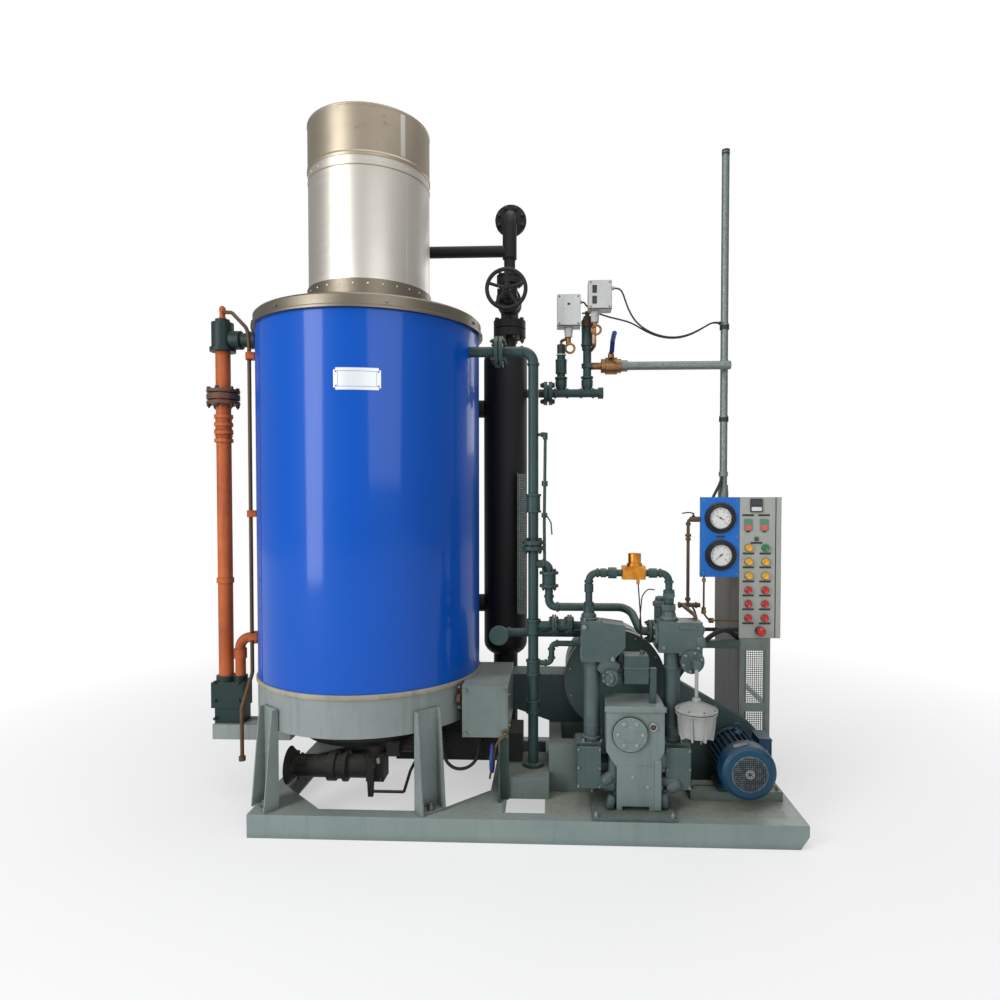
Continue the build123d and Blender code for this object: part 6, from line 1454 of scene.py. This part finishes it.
# Pressure switches. Die-cast grey cases with a screwed cover, a brown gasket at
# the base, a grey cup below and two dark windows on the right one.
COVER_FRONT_Y = 0.218
switch_cover, switch_screws, switch_dark, switch_base = (bmesh.new() for _ in range(4))
for x0, x1, z0, z1 in ((0.132, 0.241, 2.104, 2.251), (0.277, 0.386, 2.180, 2.314)):
    middle_x, middle_z = (x0 + x1) / 2, (z0 + z1) / 2
    half_x, half_z = (x1 - x0) / 2, (z1 - z0) / 2
    at = fronting(middle_x, COVER_FRONT_Y + 0.004, middle_z)
    prism(switch_cover, rounded(x1 - x0 - 0.004, z1 - z0 - 0.004, 0.008), 0.004, at)
    gasket = [(-half_x, -half_z), (half_x, -half_z), (half_x, -half_z + 0.004), (-half_x, -half_z + 0.004)]
    prism(switch_base, gasket, 0.0055, at)
    for sx in (-1, 1):
        for sz in (-1, 1):
            spot = (middle_x + sx * (half_x - 0.011), COVER_FRONT_Y, middle_z + sz * (half_z - 0.011))
            socket_screw(switch_screws, spot, TO_OPERATOR, 0.006)
right_at = fronting(0.3315, COVER_FRONT_Y, 2.247)
for z in (0.025, -0.025):
    prism(switch_dark, rounded(0.021, 0.036, 0.002), 0.0012, right_at @ Matrix.Translation((-0.026, z, 0)))
prism(switch_dark, rounded(0.012, 0.010, 0.002), 0.0012, fronting(0.1865, COVER_FRONT_Y, 2.205))
light_case = enamel("light_grey_die_cast_case", "#C6C9C7", "#B4B7B5", worn="#D8D8D4", grime_and_shade="#7A776E",
                    roughness=0.45, wear=0.3,
                    dust=0.2, grain_mm=1.5, grain_depth=0.00005, grime_amount=0.3)
paint_node("pressure_switches", light_case)
piece("switch_covers", switch_cover, light_case)
switch_cups = bmesh.new()
for x, low, high in ((0.186, 2.059, 2.104), (0.310, 2.127, 2.180)):
    lathe(switch_cups, [(0.0180, high), (0.0205, high - 0.003), (0.0205, high - 0.018),
                        (0.0182, low + 0.012), (0.0178, low), (0.0110, low)],
          standing(x, 0.259), 28)
piece("switch_cups", switch_cups, light_case)
piece("switch_cover_screws", switch_screws, zinc_plate)
piece("switch_windows", switch_dark, black_plastic)
piece("switch_base_gaskets", switch_base, tube_brown)

# Siphons and relief valves on the header. Brass siphon coils carry the
# switches; the right branch ends in a brown relief valve with a T handle, and
# white thread tape shows at its joints.
siphon, tape, relief, relief_band = (bmesh.new() for _ in range(4))
coil_ring(siphon, (0.193, 0.252, 2.006), 0.021, 0.0055)
coil_ring(siphon, (0.316, 0.252, 2.092), 0.021, 0.0055)
for x, low, high in ((0.186, 2.024, 2.062), (0.310, 2.112, 2.134)):
    lathe(siphon, [(0.010, low), (0.012, low + 0.003), (0.012, high - 0.003), (0.010, high)],
          standing(x, 0.259), 24)
siphon_brass = cast_brass("dull_drawn_brass_tube", "#A87548", "#664628", 0.36)
paint_node("switch_siphons", siphon_brass)
piece("siphon_coils", siphon, siphon_brass)
for x, z, radius in ((RELIEF_X, 2.060, 0.0255), (RELIEF_X, 2.090, 0.0245), (RELIEF_X, 1.864, 0.0235),
                     (BRANCH_X, 1.864, 0.0235), (BRANCH_X, 1.990, 0.0235)):
    lathe(tape, [(radius - 0.004, z - 0.003), (radius, z - 0.0025), (radius, z + 0.0025),
                 (radius - 0.004, z + 0.003)], standing(x, HEADER_Y), 28)
piece("thread_tape", tape, coloured_plastic("white_thread_tape", "#D6D8D4", 0.6, 0.0))
for x, z, radius in ((RELIEF_X, 1.925, 0.028), (RELIEF_X, 2.010, 0.026), (BRANCH_X, 1.925, 0.027)):
    prism(relief_band, ring_outline(radius, 6, 0.2), 0.022, standing(x, HEADER_Y, z))
piece("header_unions", relief_band, pipe_green)
lathe(relief, [(0.027, 2.120), (0.029, 2.126), (0.029, 2.150), (0.022, 2.160), (0.018, 2.172),
               (0.011, 2.176), (0.011, 2.196), (0, 2.198)],
      standing(RELIEF_X, HEADER_Y), 32)
bent_tube(relief, [(0.252, HEADER_Y, 2.188), (0.303, HEADER_Y, 2.188)], 0.004, 12)
piece("relief_valve_top", relief, tube_brown)

# Ball valve bolts and the conduit's joints. Hex nuts hold the valve's body and
# end flanges; the conduit has couplings, black tape bands, a rubber cap and a
# short black cable at its foot.
valve_nuts, couplings, conduit_black = bmesh.new(), bmesh.new(), bmesh.new()
conduit_axis = standing(0.945, 0.390)
for x, facing_x in ((0.352, -1), (0.431, 1)):
    for a in turns(4, pi / 4):
        hex_bolt(valve_nuts, (x, HEADER_Y + 0.026 * cos(a), 1.935 + 0.026 * sin(a)), (facing_x, 0, 0), 0.008)
for x, y in ((0.3835, 0.312), (0.3995, 0.312), (0.3835, 0.328), (0.3995, 0.328)):
    hex_bolt(valve_nuts, (x, y, 1.970), UP, 0.005)
piece("ball_valve_nuts", valve_nuts, brown_brass)
for z in (1.692, 1.959, 2.137, 1.420):
    lathe(couplings, [(0.0178, z - 0.012), (0.0215, z - 0.011), (0.0220, z), (0.0215, z + 0.011),
                         (0.0178, z + 0.012)],
          conduit_axis, 28)
lathe(couplings, [(0.018, 1.308), (0.0245, 1.308), (0.0250, 1.328), (0.0225, 1.352), (0.018, 1.356)],
      conduit_axis, 28)
for z in (1.690, 1.957, 2.135):
    lathe(conduit_black, [(0.0215, z - 0.016), (0.0226, z - 0.015), (0.0226, z + 0.004),
                          (0.0215, z + 0.005)], conduit_axis, 28)
piece("conduit_couplings", couplings, galvanised)
lathe(conduit_black, [(0.0188, 2.955), (0.0192, 2.9795), (0.017, 2.9798), (0, 2.9798)], conduit_axis, 28)
bent_tube(conduit_black, [(0.938, 0.378, 1.404), (0.912, 0.352, 1.356), (0.884, 0.340, 1.306)], 0.007, 12,
          0.01)
piece("conduit_cap_and_strap", conduit_black, rubber_hose)

# Left water pipes. Steel pipe in orange-brown primer with a darker flange pair,
# rings where it is threaded, a plug on the top tee and clips that hold the
# drain tube to the jacket.
dark_flange = enamel("rusted_dark_steel_flange", "#5C4438", "#44342C", worn="#8C6F5C", grime_and_shade="#2B211C",
                     roughness=0.5, wear=0.6, dust=0.4)
flange_skins, thread_rings, tube_clips, top_plug = (bmesh.new() for _ in range(4))
left_axis = standing(LEFT_X, LEFT_Y)
for low, high in ((1.7088, 1.7222), (1.7298, 1.7522), (1.7598, 1.7732)):
    lathe(flange_skins, [(0.033, low), (0.0672, low), (0.0684, low + 0.001), (0.0684, high - 0.001),
                         (0.0672, high), (0.033, high)],
          left_axis, 56)
piece("left_flange_faces", flange_skins, dark_flange)
for index in range(14):
    z = 1.548 + 0.0085 * index
    proud = 0.0350 if index % 3 else 0.0385
    lathe(thread_rings, [(0.031, z - 0.003), (proud, z - 0.0015), (proud, z + 0.0015), (0.031, z + 0.003)],
          left_axis, 32)
piece("left_pipe_threads", thread_rings, primer)
tee_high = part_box("upper_water_tee")[1]
lathe(top_plug, [(0.0150, 0), (0.0150, 0.010), (0.0115, 0.014), (0.0125, 0.034), (0.0140, 0.038),
                 (0.0130, 0.052), (0.006, 0.060), (0, 0.061)],
      standing(LEFT_X, LEFT_Y, tee_high[2] - 0.001), 28)
piece("tee_top_plug", top_plug, primer)
TUBE_REACH = 0.499
TUBE_TURN = radians(198.5)
tube_x, tube_y = -0.688 + TUBE_REACH * cos(TUBE_TURN), TUBE_REACH * sin(TUBE_TURN)
for z in (1.896, 1.236, 0.716):
    clip_place = standing(tube_x, tube_y, z)
    lathe(tube_clips, [(0.0090, -0.0150), (0.0145, -0.0145), (0.0145, 0.0145), (0.0090, 0.0150)], clip_place,
          24)
    turn_back = clip_place @ Matrix.Rotation(TUBE_TURN, 4, "Z")
    prism(tube_clips, [(-0.023, -0.027), (0.004, -0.027), (0.004, 0.027), (-0.023, 0.027)], 0.004,
          turn_back @ Matrix.Translation((0, 0, 0.010)))
    prism(tube_clips, [(-0.023, -0.0235), (0.0130, -0.0235), (0.0130, 0.0235), (-0.023, 0.0235)], 0.0265,
          turn_back @ Matrix.Translation((0, 0, -0.01325)))
piece("drain_tube_clips", tube_clips, primer)
block_low, block_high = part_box("lower_water_block")
block_nuts = bmesh.new()
for x in (block_low[0] + 0.018, block_high[0] - 0.018):
    for z in (block_low[2] + 0.022, (block_low[2] + block_high[2]) / 2, block_high[2] - 0.022):
        hex_bolt(block_nuts, (x, block_low[1], z), TO_OPERATOR, 0.012)
piece("water_block_nuts", block_nuts, casting_green)

# Skirt joints and small hardware at the boiler's foot. A clamp bracket with two
# studs closes the skirt next to the air cover box, which has corner screws.
box_low, box_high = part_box("air_cover_box")
foot_screws, clamp = bmesh.new(), bmesh.new()
for x, z in ((box_low[0] + 0.014, box_low[2] + 0.016), (box_high[0] - 0.014, box_low[2] + 0.016),
             (box_low[0] + 0.014, box_high[2] - 0.016),
             (box_high[0] - 0.014, box_high[2] - 0.016)):
    hex_bolt(foot_screws, (x, box_low[1], z), TO_OPERATOR, 0.011)
for z in (box_low[2] + 0.040, box_high[2] - 0.040):
    hex_bolt(foot_screws, (box_high[0], box_low[1] + 0.030, z), RIGHT, 0.011)
box(clamp, (box_low[0] - 0.034, box_low[1] + 0.062, 0.440), (box_low[0] - 0.002, box_low[1] + 0.070, 0.548),
    0.001)
lathe(clamp, [(0.016, 0), (0.016, 0.020), (0.011, 0.026), (0.009, 0.042), (0, 0.042)],
      facing((box_low[0] - 0.018, box_low[1] + 0.062, 0.492), TO_OPERATOR), 28)
for z in (0.452, 0.534):
    hex_bolt(foot_screws, (box_low[0] - 0.020, box_low[1] + 0.062, z), TO_OPERATOR, 0.010)
piece("skirt_clamp", clamp, dark_flange)
piece("skirt_clamp_screws", foot_screws, zinc_plate)

# Control rod and burner fittings. A brown rod with a ring end reaches down from
# the air cover box to the blue handwheel; blocks, a thin pipe and a regulator
# hang on the gas pipe below the boiler.
control_rod, burner_bits = bmesh.new(), bmesh.new()
bent_tube(control_rod, [(box_high[0] - 0.012, box_low[1] - 0.006, box_low[2] + 0.010),
                        (-0.112, box_low[1] - 0.010, 0.330), (-0.128, box_low[1] - 0.004, 0.250),
                        (-0.140, -0.290, 0.180)], 0.0042, 12, 0.03)
coil_ring(control_rod, (box_high[0] - 0.012, box_low[1] - 0.006, box_low[2] + 0.022), 0.0085, 0.0035)
piece("control_rod", control_rod, tube_brown)
box(burner_bits, (-0.560, -0.290, 0.262), (-0.500, -0.210, 0.322), 0.006)
box(burner_bits, (-0.440, -0.270, 0.270), (-0.360, -0.200, 0.318), 0.006)
lathe(burner_bits, [(0.026, -0.03), (0.026, 0.03), (0.020, 0.034), (0, 0.034)],
      facing((-0.470, -0.240, 0.292), RIGHT), 32)
bent_tube(burner_bits, [(-0.604, -0.250, 0.235), (-0.604, -0.250, 0.300), (-0.540, -0.250, 0.300)], 0.014,
          16, 0.03)
piece("burner_valve_blocks", burner_bits, heat_black)
igniter_cap = bmesh.new()
lathe(igniter_cap, [(0.009, 0), (0.009, 0.018), (0.006, 0.021), (0, 0.021)],
      facing((-0.590, -0.295, 0.238), UP), 20)
piece("igniter_cap", igniter_cap, silver_case)

# Belt guard screws. Seven zinc-plated screws follow the guard's round end and
# three its lower edge; they hold its front sheet.
guard_screws = bmesh.new()
guard_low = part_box("belt_guard")[0]
GUARD_X, GUARD_Z, GUARD_CIRCLE = 0.379, 0.521, 0.198
screw_places = []
for index in range(7):
    a = radians(30 + 34 * index)
    screw_places.append((GUARD_X + GUARD_CIRCLE * cos(a), GUARD_Z + GUARD_CIRCLE * sin(a)))
for x, z in screw_places + [(0.700, 0.370), (0.830, 0.286), (0.940, 0.215)]:
    hex_bolt(guard_screws, (x, guard_low[1], z), TO_OPERATOR, 0.009)
piece("belt_guard_screws", guard_screws, zinc_plate)

# Studio. A plain pale floor and backdrop, soft light from the upper left and
# front, and a camera where the photographer stood.
floor_paint, floor_tree, floor_shader = new_material("plain_pale_floor", Roughness=0.9,
                                                     Specular_IOR_Level=0.1)
floor_shader.inputs["Base Color"].default_value = linear("#F4F4F2")
rays = add(floor_tree, "LightPath")
seen_or_glossy = add(floor_tree, "Math", None,
                     {0: rays.outputs["Is Camera Ray"], 1: rays.outputs["Is Glossy Ray"]},
                     operation="MAXIMUM")
floor_place = add(floor_tree, "NewGeometry")
away = add(floor_tree, "VectorMath", {1: (0.0, 0.4, 0.0)}, {0: floor_place.outputs["Position"]},
           operation="DISTANCE")
fade = add(floor_tree, "MapRange", {1: 1.2, 2: 3.4, 3: 0.5}, {0: away.outputs["Value"]})
blend_white = add(floor_tree, "Math", None, {0: fade, 1: seen_or_glossy}, operation="MULTIPLY")
white = add(floor_tree, "Emission", {"Color": (1, 1, 1, 1), "Strength": 1.0})
floor_mix = add(floor_tree, "MixShader", None, {0: blend_white, 1: floor_shader, 2: white})
floor_tree.links.new(floor_mix.outputs[0], floor_tree.nodes["Material Output"].inputs["Surface"])
FLOOR_HALF = 14.0
floor_mesh = bmesh.new()
floor_corners = [floor_mesh.verts.new((x * FLOOR_HALF, y * FLOOR_HALF, -0.0005)) for x,
                 y in ((-1, -1), (1, -1), (1, 1), (-1, 1))]
floor_mesh.faces.new(floor_corners)
floor_data = bpy.data.meshes.new("studio_floor")
floor_mesh.to_mesh(floor_data)
floor_mesh.free()
floor_data.materials.append(floor_paint)
studio_floor = bpy.data.objects.new("studio_floor", floor_data)
bpy.context.scene.collection.objects.link(studio_floor)

world = bpy.data.worlds.new("studio_world")
bpy.context.scene.world = world
world.use_nodes = True
world_tree = world.node_tree
world_light = world_tree.nodes["Background"]
world_light.inputs["Color"].default_value = (0.93, 0.96, 1.0, 1.0)
world_light.inputs["Strength"].default_value = 0.15
backdrop = add(world_tree, "Background", {"Color": (1, 1, 1, 1), "Strength": 1.0})
world_rays = add(world_tree, "LightPath")
glossy_part = add(world_tree, "Math", {1: 0.30}, {0: world_rays.outputs["Is Glossy Ray"]},
                  operation="MULTIPLY")
sees_white = add(world_tree, "Math", None, {0: world_rays.outputs["Is Camera Ray"], 1: glossy_part},
                 operation="MAXIMUM")
world_mix = add(world_tree, "MixShader", None, {0: sees_white, 1: world_light, 2: backdrop})
world_tree.links.new(world_mix.outputs[0], world_tree.nodes["World Output"].inputs["Surface"])


def soft_lamp(name, place, target, size, power, colour=(1.0, 1.0, 1.0)):
    """A large soft area lamp that faces a point."""
    lamp = bpy.data.lights.new(name, "AREA")
    lamp.shape = "RECTANGLE"
    lamp.size, lamp.size_y = size
    lamp.energy = power
    lamp.color = colour
    made = bpy.data.objects.new(name, lamp)
    made.location = place
    made.rotation_euler = (Vector(target) - Vector(place)).to_track_quat("-Z", "Y").to_euler()
    bpy.context.scene.collection.objects.link(made)


soft_lamp("key_lamp", (-3.6, -3.6, 2.7), (-0.3, 0.0, 1.2), (1.5, 4.8), 185)
soft_lamp("front_lamp", (1.8, -4.6, 2.6), (0.2, 0.0, 1.0), (3.0, 2.4), 62)
soft_lamp("top_lamp", (0.3, -0.6, 5.2), (0.0, 0.0, 0.0), (4.0, 3.0), 90)
soft_lamp("back_lamp", (2.6, 4.2, 3.0), (0.0, 0.0, 1.2), (3.0, 2.4), 60)

camera_data = bpy.data.cameras.new("camera")
camera_data.lens = 24.48
camera_data.sensor_width = 36.0
camera_data.shift_x = -0.020
camera_data.shift_y = 0.017
camera_data.clip_end = 60.0
camera = bpy.data.objects.new("camera", camera_data)
camera.location = (0.0985, -2.974, 1.297)
camera.rotation_euler = (radians(88.5), 0.0, radians(2.5))
bpy.context.scene.collection.objects.link(camera)
bpy.context.scene.camera = camera
bpy.context.scene.view_settings.view_transform = "Standard"
